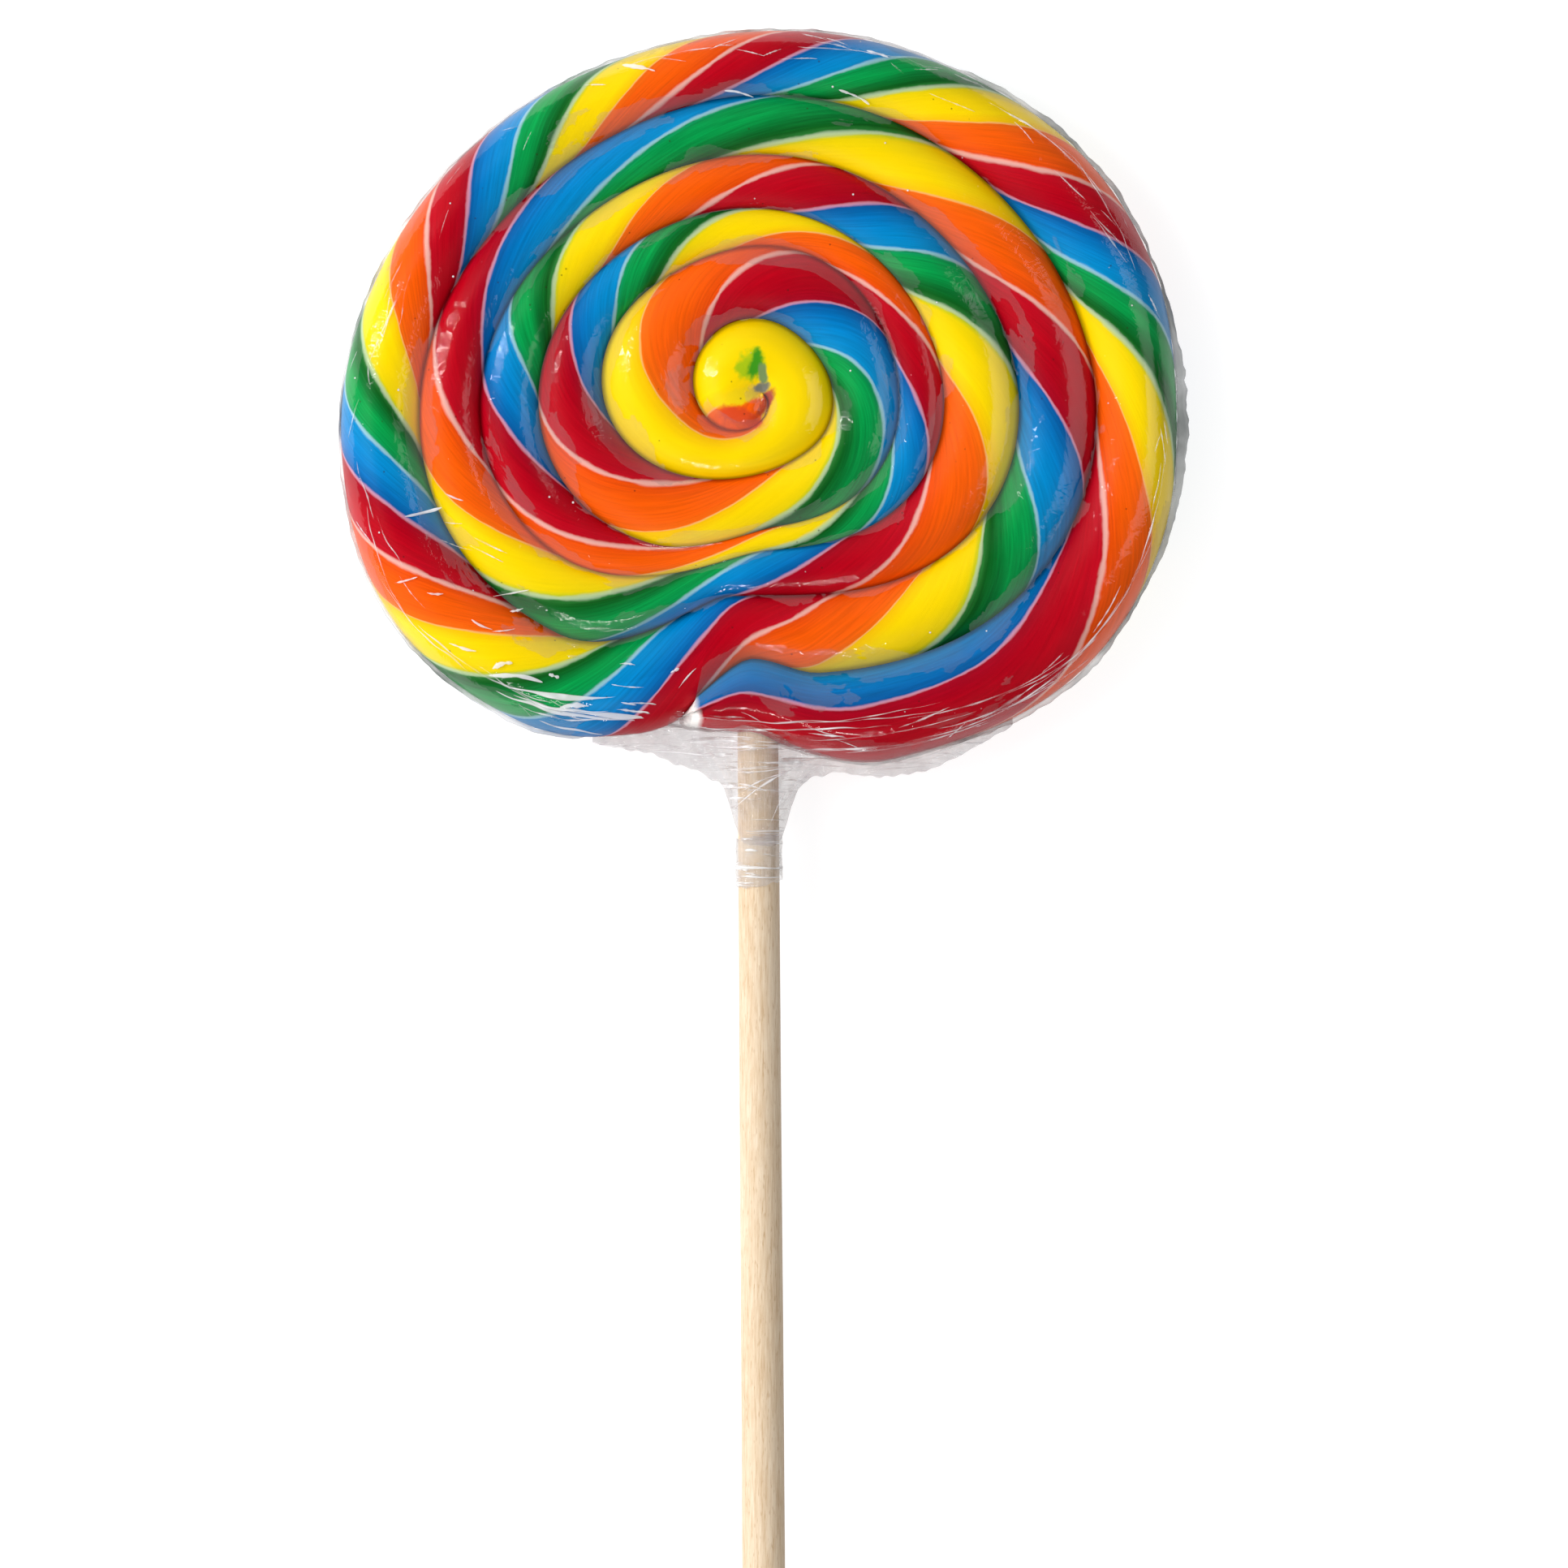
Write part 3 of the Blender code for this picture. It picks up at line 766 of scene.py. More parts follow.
def birchMaterial():
    # turned birch, unfinished: straight fine grain, short dark pores, no gloss
    material, node = newMaterial("birchDowel")
    place = node("TexCoord").outputs["Object"]
    fibre, fibreLength = birch["fibre"] * mm, birch["fibreLength"] * mm
    stretched = node("Mapping", {"Vector": place, "Scale": (1 / fibre, 1 / fibreLength, 1 / fibre)})
    grain = node("TexNoise", {"Vector": stretched, "Scale": 1.0, "Detail": 5.0, "Roughness": 0.65})
    band, bandLength = birch["band"] * mm, birch["bandLength"] * mm
    broad = node("Mapping", {"Vector": place, "Scale": (1 / band, 1 / bandLength, 1 / band)})
    bands = node("TexNoise", {"Vector": broad, "Scale": 1.0, "Detail": 2.0})
    both = node("Mix", {"Factor": 0.3, "A": grain, "B": bands})
    colour = node("ValToRGB", {"Fac": both}, stops=birch["tones"])
    fleck, fleckLength = birch["fleck"] * mm, birch["fleckLength"] * mm
    fleckPlace = node("Mapping", {"Vector": place, "Scale": (1 / fleck, 1 / fleckLength, 1 / fleck)})
    flecks = node("TexNoise", {"Vector": fleckPlace, "Scale": 1.0, "Detail": 1.0})
    pores = node("MapRange", [flecks, 0.62, 0.74, 0.0, 0.45])
    spotted = node("Mix",
        {"Factor": pores, "A": colour, "B": toLinear(birch["fleckTone"])}, data_type="RGBA")
    relief = node("Bump", {"Height": grain, "Strength": 0.35, "Distance": 0.12 * mm})
    dull = node("MapRange", [grain, 0.3, 0.7, 0.52, 0.68])
    shader = node("BsdfPrincipled", {"Base Color": spotted, "Roughness": dull,
        "Normal": relief, "Specular IOR Level": 0.3})
    node("OutputMaterial", [shader])
    return material


stickDowel = makeStick()
finishPiece(stickDowel, birchMaterial(), "wood", "stick")
print("stick turned")


# the film that clings to the head, in mm
film = {
    "columnStep": 3,
    "topRows": 12,
    "rimRows": 16,
    "backRows": 10,
    "clearance": 0.12,  # over the candy
    "sag": 0.55,  # how far it stays out of a groove
    "sagStart": 0.55,
    "wrinkle": 0.16,
    "wrinkleSize": 3.2,
    "crestWrinkle": 0.35,  # share of the wrinkles that is left where the film is tight
    "rimWrinkle": 0.55,
    "rimWrinkleSize": 2.4,
    "rimWrinkleTurn": 25,  # degrees round the rim
    "backGap": 0.04,
}


def filmSag(angle, share):
    start = film["sagStart"]
    x = max(abs(share) - start, 0.0) / (1 - start)
    edge = angle if share > 0 else angle - fullTurn
    return film["sag"] * edgeDepth(edge) * x ** 2.5


def wrinkleAt(point, size, seed=0.0):
    return noise.noise(Vector((point.x / size, point.y / size, seed)))


def filmTop(angle, share):
    point = candyPlace(topPoint(angle, share))
    wrinkle = film["wrinkle"] * lifted(wrinkleAt(point, film["wrinkleSize"]))
    tight = film["crestWrinkle"]
    lift = film["clearance"] + filmSag(angle, share) + wrinkle * (tight + (1 - tight) * share * share)
    return point + Vector((0, 0, lift))


def filmRim(angle, degrees):
    base = candyPlace(rimPoint(angle, degrees))
    closing = settled(angle, "sinking")
    if closing:  # the bag bridges the notch behind the tail
        start = candyPlace(rimPoint(tailAngle, degrees))
        base = base.lerp(around(math.hypot(start.x, start.y), angle, start.z), closing)
    t = math.radians(degrees)
    crinkle = film["rimWrinkle"] * max(math.cos(t), 0.0)
    n = lifted(wrinkleAt(base, film["rimWrinkleSize"], degrees / film["rimWrinkleTurn"]))
    out = film["clearance"] * math.cos(t) + crinkle * n * n
    wrinkle = film["wrinkle"] * lifted(wrinkleAt(base, film["wrinkleSize"]))
    wrinkle = wrinkle * film["crestWrinkle"] * max(math.sin(t), 0.0)
    return base + around(out, angle, film["clearance"] * math.sin(t) + wrinkle)


def makeFilmWrap():
    step = film["columnStep"]
    firstColumns = fullTurn // step
    restColumns = (windingEnd - tuckAngle) // step
    topRows, rimRows, backRows = film["topRows"], film["rimRows"], film["backRows"]

    def halfWidth(angle):
        outer, inner = ropeEdges(angle)
        return (outer - inner) / 2

    def topSheet(name, start, columns, rows, first):
        def pointAt(c, r):
            return filmTop(start + step * c, mix(first, 1.0, r / rows))

        def mapAt(c, r):
            angle, share = start + step * c, mix(first, 1.0, r / rows)
            width = halfWidth(angle)
            return share, width, ropeLength(angle - angle % 2), share * width

        return makeSheet(name, columns, rows, pointAt, mapAt)

    def rimAt(c, r):
        return filmRim(tailAngle + step * c, 90 - 180 * r / rimRows)

    def rimMap(c, r):
        angle, degrees = tailAngle + step * c, 90 - 180 * r / rimRows
        width, down = halfWidth(angle), 90 - degrees
        return -min(down / 90, 1.0), width, ropeLength(angle - angle % 2), -math.radians(down) * width

    def backAt(c, r):
        angle = tailAngle + step * c
        rim = filmRim(angle, -90)
        share = r / backRows
        point = Vector((rim.x, rim.y, 0)) * (1 - share)
        height = mix(max(rim.z, 0.0), 0.0, smoothStep(share * 8))
        gap = film["backGap"] * (1 + wrinkleAt(point, 6.0, 9.0)) * min(share * 8, 1.0)
        return point + Vector((0, 0, height + gap))

    def backMap(c, r):
        angle = tailAngle + step * c
        return 0.0, 10.0, ropeLength(angle - angle % 2), r * 6.0

    sheets = [
        topSheet("film outer turn", tailAngle, firstColumns, topRows // 2, 0.0),
        topSheet("film inner turns", tuckAngle, restColumns, topRows, -1.0),
        makeSheet("film rim", firstColumns, rimRows, rimAt, rimMap),
        makeSheet("film back", firstColumns, backRows, backAt, backMap),
    ]
    return joinPieces("filmWrap", sheets, merge=0.03 * mm, smoothAngle=60)


def filmShader(node, milky, tone, mirror, gloss):
    # light goes through the film, is scattered where it is milky, and a share of it is mirrored
    clear = node("BsdfTransparent")
    haze = node("BsdfDiffuse", {"Color": tone})
    body = node("MixShader", [milky, clear, haze])
    shine = node("BsdfAnisotropic", gloss)
    shader = node("MixShader", [mirror, body, shine])
    node("OutputMaterial", [shader])


shrinkFilm = {
    "veil": 0.11,  # loose film looks milky, clinging film doesn't
    "grooveVeil": 0.01,
    "veilTone": "#A09EA0",
    "patchLength": 22,  # mm, the patches of cling
    "patchWidth": 9,
    "patchEdge": 0.004,
    "stretchedLight": 0.07,
    "cloudSize": 9,
    "paintedGlints": 4.2,  # mm between the white specks, painted glints of the crinkled film
    "paintedGlintTone": "#FFFFFF",
    "crinkle": 0.3,
    "crinkleSize": 2.6,
}


def shrinkFilmMaterial():
    # clear polyolefin shrink film: invisible where it clings, milky and glinting where it stands off
    look = shrinkFilm
    material, node = newMaterial("clearShrinkFilm")
    place = node("TexCoord").outputs["Object"]
    sideMap = node("UVMap", uv_map="stripes")
    ropeMap = node("UVMap", uv_map="rope")
    side = node("SeparateXYZ", [sideMap]).outputs["X"]
    fromCrest = node("Math", [side], operation="ABSOLUTE")

    # patches of cling along the crests, with sharp jagged ends
    patchPlace = node("Mapping",
        {"Vector": ropeMap, "Scale": (1 / look["patchLength"], 1 / look["patchWidth"], 1.0)})
    patches = node("TexNoise",
        {"Vector": patchPlace, "Scale": 1.0, "Detail": 6.0, "Roughness": 0.55, "Distortion": 0.4})
    reach = node("MapRange", [fromCrest, 0.2, 1.0, 0.32, 0.54])
    # it stands off more where it is pulled together under the head
    placeParts = node("SeparateXYZ", [place])
    pulled = node("MapRange", [placeParts.outputs["Y"], -58 * mm, -40 * mm, 0.15, 0.0])
    pulledReach = node("Math", [reach, pulled], operation="ADD")
    loose = node("Math", [pulledReach, patches], operation="SUBTRACT")
    veil = node("MapRange", [loose, -look["patchEdge"], look["patchEdge"], 0.0, 1.0])
    cloud = node("TexNoise", {"Vector": place, "Scale": 1 / (look["cloudSize"] * mm), "Detail": 3.0})
    haziness = node("MapRange", [cloud, 0.3, 0.7, look["veil"] * 0.7, look["veil"] * 1.3])
    deep = node("MapRange", [fromCrest, 0.7, 1.0, 0.0, look["grooveVeil"]])
    milky = node("Math", [haziness, deep], operation="ADD")
    veiled = node("Math", [veil, milky], operation="MULTIPLY")

    # a bright rim of stretched film round each patch of cling
    fromEdge = node("Math", [loose], operation="ABSOLUTE")
    stretched = node("MapRange", [fromEdge, 0.0, 0.006, look["stretchedLight"], 0.0])
    hazy = node("Math", [veiled, stretched], operation="ADD")
    # white specks: painted glints of the crinkled film
    glintCells = node("TexVoronoi", {"Vector": place, "Scale": 1 / (look["paintedGlints"] * mm)})
    paintedGlintDot = node("MapRange", [glintCells, 0.03, 0.055, 0.8, 0.0])
    chosen = node("SeparateColor", [glintCells.outputs["Color"]])
    some = node("Math", [chosen, 0.55], operation="GREATER_THAN")
    paintedGlints = node("Math", [paintedGlintDot, some], operation="MULTIPLY")
    solid = node("Math", [hazy, paintedGlints], operation="ADD")

    # fine crinkles catch the lights
    fineScale = 1 / (look["crinkleSize"] * mm)
    fine = node("TexNoise",
        {"Vector": place, "Scale": fineScale, "Detail": 3.0, "Roughness": 0.55, "Distortion": 1.0})
    relief = node("Bump", {"Height": fine, "Strength": 0.4, "Distance": look["crinkle"] * mm})
    tone = node("Mix",
        {"Factor": paintedGlints, "A": toLinear(look["veilTone"]), "B": toLinear(look["paintedGlintTone"])},
        data_type="RGBA")
    edgeOn = node("LayerWeight", {"Blend": 0.5})
    steep = node("Math", [edgeOn.outputs["Facing"], 5.0], operation="POWER")
    mirror = node("Math", [steep, 0.2, 0.05], operation="MULTIPLY_ADD")
    filmShader(node, solid, tone, mirror, {"Roughness": 0.05, "Normal": relief})
    return material


filmWrap = makeFilmWrap()
finishPiece(filmWrap, shrinkFilmMaterial(), "film")
print("film wrapped:", len(filmWrap.data.polygons), "faces")


# the film gathered under the head, in mm
gather = {
    # lower edge from left to right, x and y
    "edge": (
        (-28.0, -58.0), (-20.0, -59.3), (-15.0, -61.0), (-8.0, -63.4), (0.0, -63.4), (7.0, -63.8),
        (12.0, -62.8), (18.0, -63.6), (24.0, -63.3), (29.0, -62.1), (33.0, -60.2), (38.0, -57.4),
        (42.0, -55.0),
    ),
    "least": 0.9,  # how far it stands out from the rim at its ends
    "tuck": 1.4,  # how far its top is tucked over the rim
    "ragged": 0.7,
    "raggedSize": 1.9,
    "thick": 3.2,
    "thin": 0.3,
    "neckRadius": 4.9,
    "sleeveRadius": 3.9,  # where it runs in under the tape
    "sleeveY": -66,
    "sleeveFade": 7,
    "neckLength": 11.6,
    "neckSharpness": 6,
    "columns": 190,
    "rows": 40,
    "fanX": 0.3,  # where the pleats fan out from
    "fanY": -74,
    "pleats": 17,
    "pleatDepth": 0.55,
    "pleatLength": 14,
    "pullLength": 26,  # creases that run across
    "pullWidth": 1.3,
    "crumpleSize": 2.2,
    "crumpleShift": 0.25,
}
gatherLeft, gatherRight = gather["edge"][0][0], gather["edge"][-1][0]


@lru_cache(maxsize=None)
def outlineY(x):
    # y of the head's lowest outline at x
    lowest = 0.0
    angles = range(tailAngle - fullTurn, tailAngle + 1, 2)
    corners = [around(edgeRadius(a), a, 0) for a in angles]
    corners.append(corners[0])
    for a, b in zip(corners, corners[1:]):
        if min(a.x, b.x) <= x <= max(a.x, b.x) and a.x != b.x:
            lowest = min(lowest, a.lerp(b, (x - a.x) / (b.x - a.x)).y)
    return lowest


def neckShare(x):
    # 1 where the film is drawn into the neck, 0 beside it
    return 1 / (1 + abs(x / gather["neckRadius"]) ** gather["neckSharpness"])


@lru_cache(maxsize=None)
def gatherSpan(x):
    # top and bottom of the gathered film at x
    high = outlineY(x)
    low = lineThrough(gather["edge"], x) - gather["neckLength"] * neckShare(x)
    return high + gather["tuck"], min(low, high - gather["least"])


def gatherPoint(across, down, side):
    spread = 2 * across - 1
    x = mix(gatherLeft, gatherRight, across)
    neck = neckShare(x)
    high, low = gatherSpan(round(x, 1))
    low += gather["ragged"] * noise.noise(Vector((x / gather["raggedSize"], 3.0, 0))) * (1 - neck)
    y = mix(high, low, down)
    plain = gather["thin"] + gather["thick"] * (1 - down) * (1 - spread ** 2)
    sleeve = smoothStep((gather["sleeveY"] - y) / gather["sleeveFade"])
    radius = mix(gather["neckRadius"], gather["sleeveRadius"], sleeve)
    tube = math.sqrt(max(radius ** 2 - x * x, 0.0))
    half = math.hypot(plain, tube)
    # pleats fan out from the neck, tension creases run across under the head
    up = y - gather["fanY"]
    aside = math.atan2(x - gather["fanX"], up)
    outward = math.hypot(x, up) / gather["pleatLength"]
    fold = noise.noise(Vector((aside * gather["pleats"], outward, side * 7)))
    slanted = (y + x * 0.06) / gather["pullWidth"]
    cross = noise.noise(Vector((x / gather["pullLength"], slanted, side * 11)))
    size = gather["crumpleSize"]
    crumple = noise.noise(Vector((x / size, y / size, side * 5 + 2)))
    fade = math.sin(math.pi * down) ** 0.5 if 0 < down < 1 else 0.0
    wave = gather["pleatDepth"] * (fold * smoothStep(down * 2) + cross * 0.8 + crumple * 0.35)
    shift = gather["crumpleShift"] * crumple * (1 - neck)
    return Vector((x, y + shift * smoothStep(down), middleHeight + side * half + wave * fade))


def makeGather():
    columns, rows = gather["columns"], gather["rows"]

    def front(c, r):
        return gatherPoint(c / columns, r / rows, 1)

    def back(c, r):
        return gatherPoint(c / columns, r / rows, -1)

    def flatMap(c, r):
        return 1.0, 5.0, c * 0.4, r * 0.4

    sheets = [
        makeSheet("gather front", columns, rows, front, flatMap),
        makeSheet("gather back", columns, rows, back, flatMap),
    ]
    return joinPieces("filmGather", sheets, merge=thinMerge, smoothAngle=60)


gatheredFilmLook = {
    "base": 0.24,  # share of light that several layers stop
    "baseTone": "#C6BFC1",
    "creaseWhiteAndGlintTone": "#FFFFFF",
    "creaseLength": 11.0,
    "creaseWidth": 0.75,
}


def layeredFilmMaterial(name, look):
    # the same film in many layers: greyer, with pale lines along its folds, partly stress whitening and
    # partly painted glints
    material, node = newMaterial(name)
    place = node("TexCoord").outputs["Object"]
    across, along = look["creaseWidth"] * mm, look["creaseLength"] * mm
    stretched = node("Mapping", {"Vector": place, "Scale": (1 / along, 1 / across, 1 / along)})
    lines = node("TexNoise",
        {"Vector": stretched, "Scale": 1.0, "Detail": 4.0, "Roughness": 0.55, "Distortion": 0.7})
    # round the neck the folds run every way
    crumple = node("TexNoise",
        {"Vector": place, "Scale": 1 / (5.0 * mm), "Detail": 3.0, "Roughness": 0.6, "Distortion": 3.0},
        noise_type="RIDGED_MULTIFRACTAL")
    # pale crease lines: partly stress whitening, partly painted glints
    crease = node("MapRange", [lines, 0.57, 0.66, 0.0, 0.65])
    ridge = node("MapRange", [crumple, 0.55, 0.9, 0.0, 0.45])
    white = node("Math", [crease, ridge], operation="MAXIMUM")
    cloud = node("TexNoise", {"Vector": place, "Scale": 1 / (4.0 * mm), "Detail": 3.0})
    layer = node("MapRange", [cloud, 0.3, 0.7, look["base"] * 0.5, look["base"] * 1.5])
    milky = node("Math", [white, layer], operation="ADD")
    tone = node("Mix",
        {"Factor": white, "A": toLinear(look["baseTone"]), "B": toLinear(look["creaseWhiteAndGlintTone"])},
        data_type="RGBA")
    relief = node("Bump", {"Height": lines, "Strength": 0.7, "Distance": 0.4 * mm})
    edgeOn = node("LayerWeight", {"Blend": 0.5, "Normal": relief})
    steep = node("Math", [edgeOn.outputs["Facing"], 4.0], operation="POWER")
    mirror = node("Math", [steep, 0.3, 0.07], operation="MULTIPLY_ADD")
    filmShader(node, milky, tone, mirror, {"Roughness": 0.08, "Normal": relief})
    return material


filmGather = makeGather()
gatheredFilm = layeredFilmMaterial("gatheredShrinkFilm", gatheredFilmLook)
finishPiece(filmGather, gatheredFilm, "film", "film_neck")
print("film gathered")


# the welded edge of the film round the rim, in mm
fin = {
    "columns": 540,
    "rows": 4,
    "tuck": 0.3,
    "plain": 0.18,
    # extra width, middle angle, half span
    "wide": ((1.7, -5, 24), (0.6, 42, 26), (0.4, 222, 34), (0.7, -44, 20)),
    "ripple": 1.2,
}


def outerTurn(angle):
    # the same direction, on the outermost turn of the rope
    return tailAngle + (angle - tailAngle) % fullTurn


def finPoint(c, r):
    angle = fullTurn * (c % fin["columns"]) / fin["columns"]
    base = filmRim(round(outerTurn(angle), 4), 4.0)
    width = fin["plain"]
    for extra, middle, half in fin["wide"]:
        width += extra * angleBump(angle, middle, half)
    coarse, fine = noise.noise(around(9.0, angle, 3.0)), noise.noise(around(40.0, angle, 5.0))
    ragged = max(0.85 + 0.4 * coarse + 0.3 * fine, 0.05)
    out = -fin["tuck"] + (width * ragged + fin["tuck"]) * r / fin["rows"]
    ripple = fin["ripple"] * noise.noise(around(9.0, angle, r * 0.3)) * r / fin["rows"]
    return base + around(out, angle, ripple)


def makeFin():
    columns, rows = fin["columns"], fin["rows"]

    def mapAt(c, r):
        return r / rows, 1.0, c * 0.8, r * 0.5

    sheet = makeSheet("fin", columns, rows, finPoint, mapAt)
    return joinPieces("filmFin", [sheet], merge=thinMerge, smoothAngle=80)


def filmHeight(x, y):
    # height of the film over a point in plan, or None beside it
    radius, angle = math.hypot(x, y), math.degrees(math.atan2(y, x)) % fullTurn
    while angle < tailAngle:
        angle += fullTurn
    while angle < windingEnd:
        outer, inner = ropeEdges(round(angle, 3))
        if inner <= radius <= outer:
            half = (outer - inner) / 2
            share = (outer - half - radius) / half
            if angle < tuckAngle and share < 0:
                crest = crestHeight(round(angle, 3))
                arch = math.sqrt(1 - share * share)
                return mix(middleHeight, crest, arch) + film["clearance"]
            return filmTop(round(angle, 3), share).z
        angle += fullTurn
    if gatherLeft < x < gatherRight:
        high, low = gatherSpan(round(x, 1))
        if low < y <= high:
            across = (x - gatherLeft) / (gatherRight - gatherLeft)
            return gatherPoint(across, (high - y) / (high - low), 1).z
    return None


creases = {
    # long folds pulled straight across under the head: x, y of both ends, sag, width
    "across": (
        (-17.0, -52.8, 30.0, -52.6, -1.9, 0.2), (-12.0, -53.3, 5.0, -54.9, -0.3, 0.2),
        (-14.0, -55.0, 22.0, -55.0, -0.8, 0.22), (-4.0, -58.6, 30.0, -57.2, -1.1, 0.26),
        (-6.0, -59.2, 20.0, -58.9, -0.3, 0.16), (-9.0, -58.4, 4.0, -58.8, -0.2, 0.2),
        (2.0, -54.4, 30.0, -51.2, -1.1, 0.14), (8.0, -57.5, 36.0, -52.6, -1.3, 0.16),
        (14.0, -59.6, 38.0, -54.2, -1.1, 0.2), (20.0, -61.6, 42.0, -54.4, -1.0, 0.24),
        (16.0, -62.4, 34.0, -59.0, -0.7, 0.2), (24.0, -58.0, 42.0, -52.0, -0.6, 0.16),
        (-24.0, -52.6, -15.0, -53.2, 0.3, 0.4), (-23.0, -51.6, -16.0, -52.0, 0.3, 0.22),
        (-24.0, -58.2, -6.0, -60.2, -0.3, 0.2), (-18.0, -60.0, -5.2, -63.2, 0.5, 0.22),
        (-4.4, -62.9, 5.0, -61.8, -0.3, 0.3), (-4.6, -69.0, 9.5, -60.6, 1.1, 0.34),
        (-4.4, -66.9, 4.0, -62.9, 0.5, 0.22), (4.4, -67.4, 10.0, -61.8, 0.7, 0.2),
        (5.0, -65.2, 12.0, -61.6, 0.4, 0.18), (-4.4, -71.2, 4.0, -67.0, 0.5, 0.18),
        (-4.4, -64.8, 1.0, -66.0, 0.3, 0.3), (1.0, -72.6, 4.2, -66.0, 0.2, 0.16),
    ),
    # folds that run round near the rim: first and last angle, inset from the outline, drift, width
    "round": (
        (-66, -40, 6.0, -2.6, 0.2), (-62, -44, 3.0, -1.6, 0.22), (-58, -30, 1.8, 0.8, 0.26),
        (-52, -36, 4.4, -2.4, 0.2), (-48, -20, 3.0, -1.2, 0.2), (-56, -46, 2.2, 1.0, 0.3),
        (214, 236, 3.0, 2.0, 0.24), (224, 244, 5.0, -2.0, 0.22), (206, 226, 2.0, 1.4, 0.2),
        (232, 248, 2.4, 1.0, 0.3), (196, 212, 3.4, -1.0, 0.18), (30, 52, 2.0, 1.0, 0.28),
        (18, 40, 3.4, -1.5, 0.2), (66, 84, 2.2, 1.2, 0.16), (98, 112, 2.6, -0.8, 0.2),
        (-30, -8, 2.2, 0.8, 0.2),
    ),
    # broad milky folds, painted white where the film glints: x, y of both ends, sag, width
    "broad": (
        (-44.0, -49.4, -19.0, -54.2, -1.5, 0.5), (-43.0, -48.4, -24.0, -50.4, -0.9, 0.42),
        (-41.0, -50.0, -25.0, -52.6, -1.0, 0.3), (-34.5, -52.2, -12.0, -53.6, -0.6, 0.5),
        (-33.5, -52.4, -28.5, -52.0, 0.3, 0.55), (-45.0, -46.8, -36.0, -48.0, 0.4, 0.6),
        (-35.0, -46.6, -33.4, -47.3, 0.0, 0.5), (-23.4, -45.0, -20.8, -45.2, 0.1, 0.2),
        (-14.8, -46.3, -13.4, -45.6, 0.0, 0.3), (-22.9, -51.1, -20.4, -51.6, 0.0, 0.2),
        (-15.4, -52.0, -10.6, -45.6, 0.6, 0.2), (-41.0, -44.8, -44.4, -45.8, 0.4, 0.5),
        (-37.0, -54.4, -26.0, -56.4, -0.3, 0.26), (-23.0, 54.4, -17.4, 53.2, 0.1, 0.55),
        (13.0, 50.2, 18.0, 47.6, 0.3, 0.34), (17.6, 56.8, 21.4, 55.6, 0.1, 0.24),
        (-6.0, 50.0, -1.0, 49.0, 0.3, 0.3),
    ),
    # first and last angle of the crumpled corner, and how many glinting folds it has
    "crumpled": (196, 250, 18),
    "height": 0.16,
    "gap": 0.1,  # over the film
    "shake": 0.35,
    "shakeSize": 5,
    "columns": 40,
    "halfRows": 2,
    "short": 60,  # little folds scattered along the rim
    "seed": 7,
}


def creaseSheet(number, line, width, broad):
    # line gives x, y along the fold, 0 to 1. It rides on the film like a low tent
    columns, half = creases["columns"], creases["halfRows"]
    places = []
    for c in range(columns + 1):
        x, y = line(c / columns)
        size = creases["shakeSize"]
        shake = creases["shake"] * noise.noise(Vector((x / size, y / size, number)))
        places.append(Vector((x + shake, y + shake, 0)))
    filmHeights = [filmHeight(place.x, place.y) for place in places]
    if None in filmHeights:
        return None
    nearby = [filmHeights[max(i - 2, 0):i + 3] for i in range(columns + 1)]
    heights = [sum(near) / len(near) for near in nearby]

    def pointAt(c, r):
        along = (places[min(c + 1, columns)] - places[max(c - 1, 0)]).normalized()
        aside = Vector((-along.y, along.x, 0))
        share, side = c / columns, (r - half) / half
        taper = math.sin(math.pi * share) ** 0.6 if 0 < share < 1 else 0.0
        uneven = 0.85 + 0.9 * noise.noise(Vector((c / (3.5 + 5 * broad), number * 0.71, 0.5)))
        lift = creases["height"] * taper * (1 - abs(side))
        rise = Vector((0, 0, heights[c] + creases["gap"] + lift))
        return places[c] + aside * (width * taper * uneven) * side + rise

    def mapAt(c, r):
        return abs(r - half) / half, broad, c * 0.5, float(number)

    return makeSheet("crease", columns, 2 * half, pointAt, mapAt)


def saggingLine(x0, y0, x1, y1, sag):
    return lambda t: (mix(x0, x1, t), mix(y0, y1, t) + sag * 4 * t * (1 - t))


def rimLine(start, end, inset, drift):
    def line(t):
        angle = mix(start, end, t)
        outline = edgeRadius(round(outerTurn(angle) - fullTurn, 3))
        point = around(outline - inset - drift * t, angle, 0)
        return point.x, point.y

    return line


def glintLine(x, y, slope, reach):
    return lambda t: (x + reach * (2 * t - 1), y + slope * reach * (2 * t - 1) - 0.5 * t * (1 - t))


def makeCreases():
    dice = random.Random(creases["seed"])
    lines = [(saggingLine(*shape), width, 0.0) for *shape, width in creases["across"]]
    lines += [(saggingLine(*shape), width, 1.0) for *shape, width in creases["broad"]]
    rounds = list(creases["round"])
    for _ in range(creases["short"]):
        start = dice.uniform(0, fullTurn)
        end, inset = start + dice.uniform(2.5, 9), dice.uniform(0.8, 5.5)
        rounds.append((start, end, inset, dice.uniform(-1.8, 1.8), dice.uniform(0.1, 0.24)))
    lines += [(rimLine(*shape), width, 0.0) for *shape, width in rounds]
    first, last, count = creases["crumpled"]
    for i in range(count):
        spot = around(dice.uniform(51, 67), dice.uniform(first, last), 0)
        slope, reach, width = dice.uniform(-0.5, 0.25), dice.uniform(0.8, 3.6), dice.uniform(0.12, 0.36)
        lines.append((glintLine(spot.x, spot.y, slope, reach), width, 1.0 if i % 3 else 0.0))
    sheets = [creaseSheet(i, *line) for i, line in enumerate(lines)]
    sheets = [sheet for sheet in sheets if sheet]
    print("creases:", len(sheets))
    return joinPieces("filmCreases", sheets, merge=thinMerge / 2, smoothAngle=80)


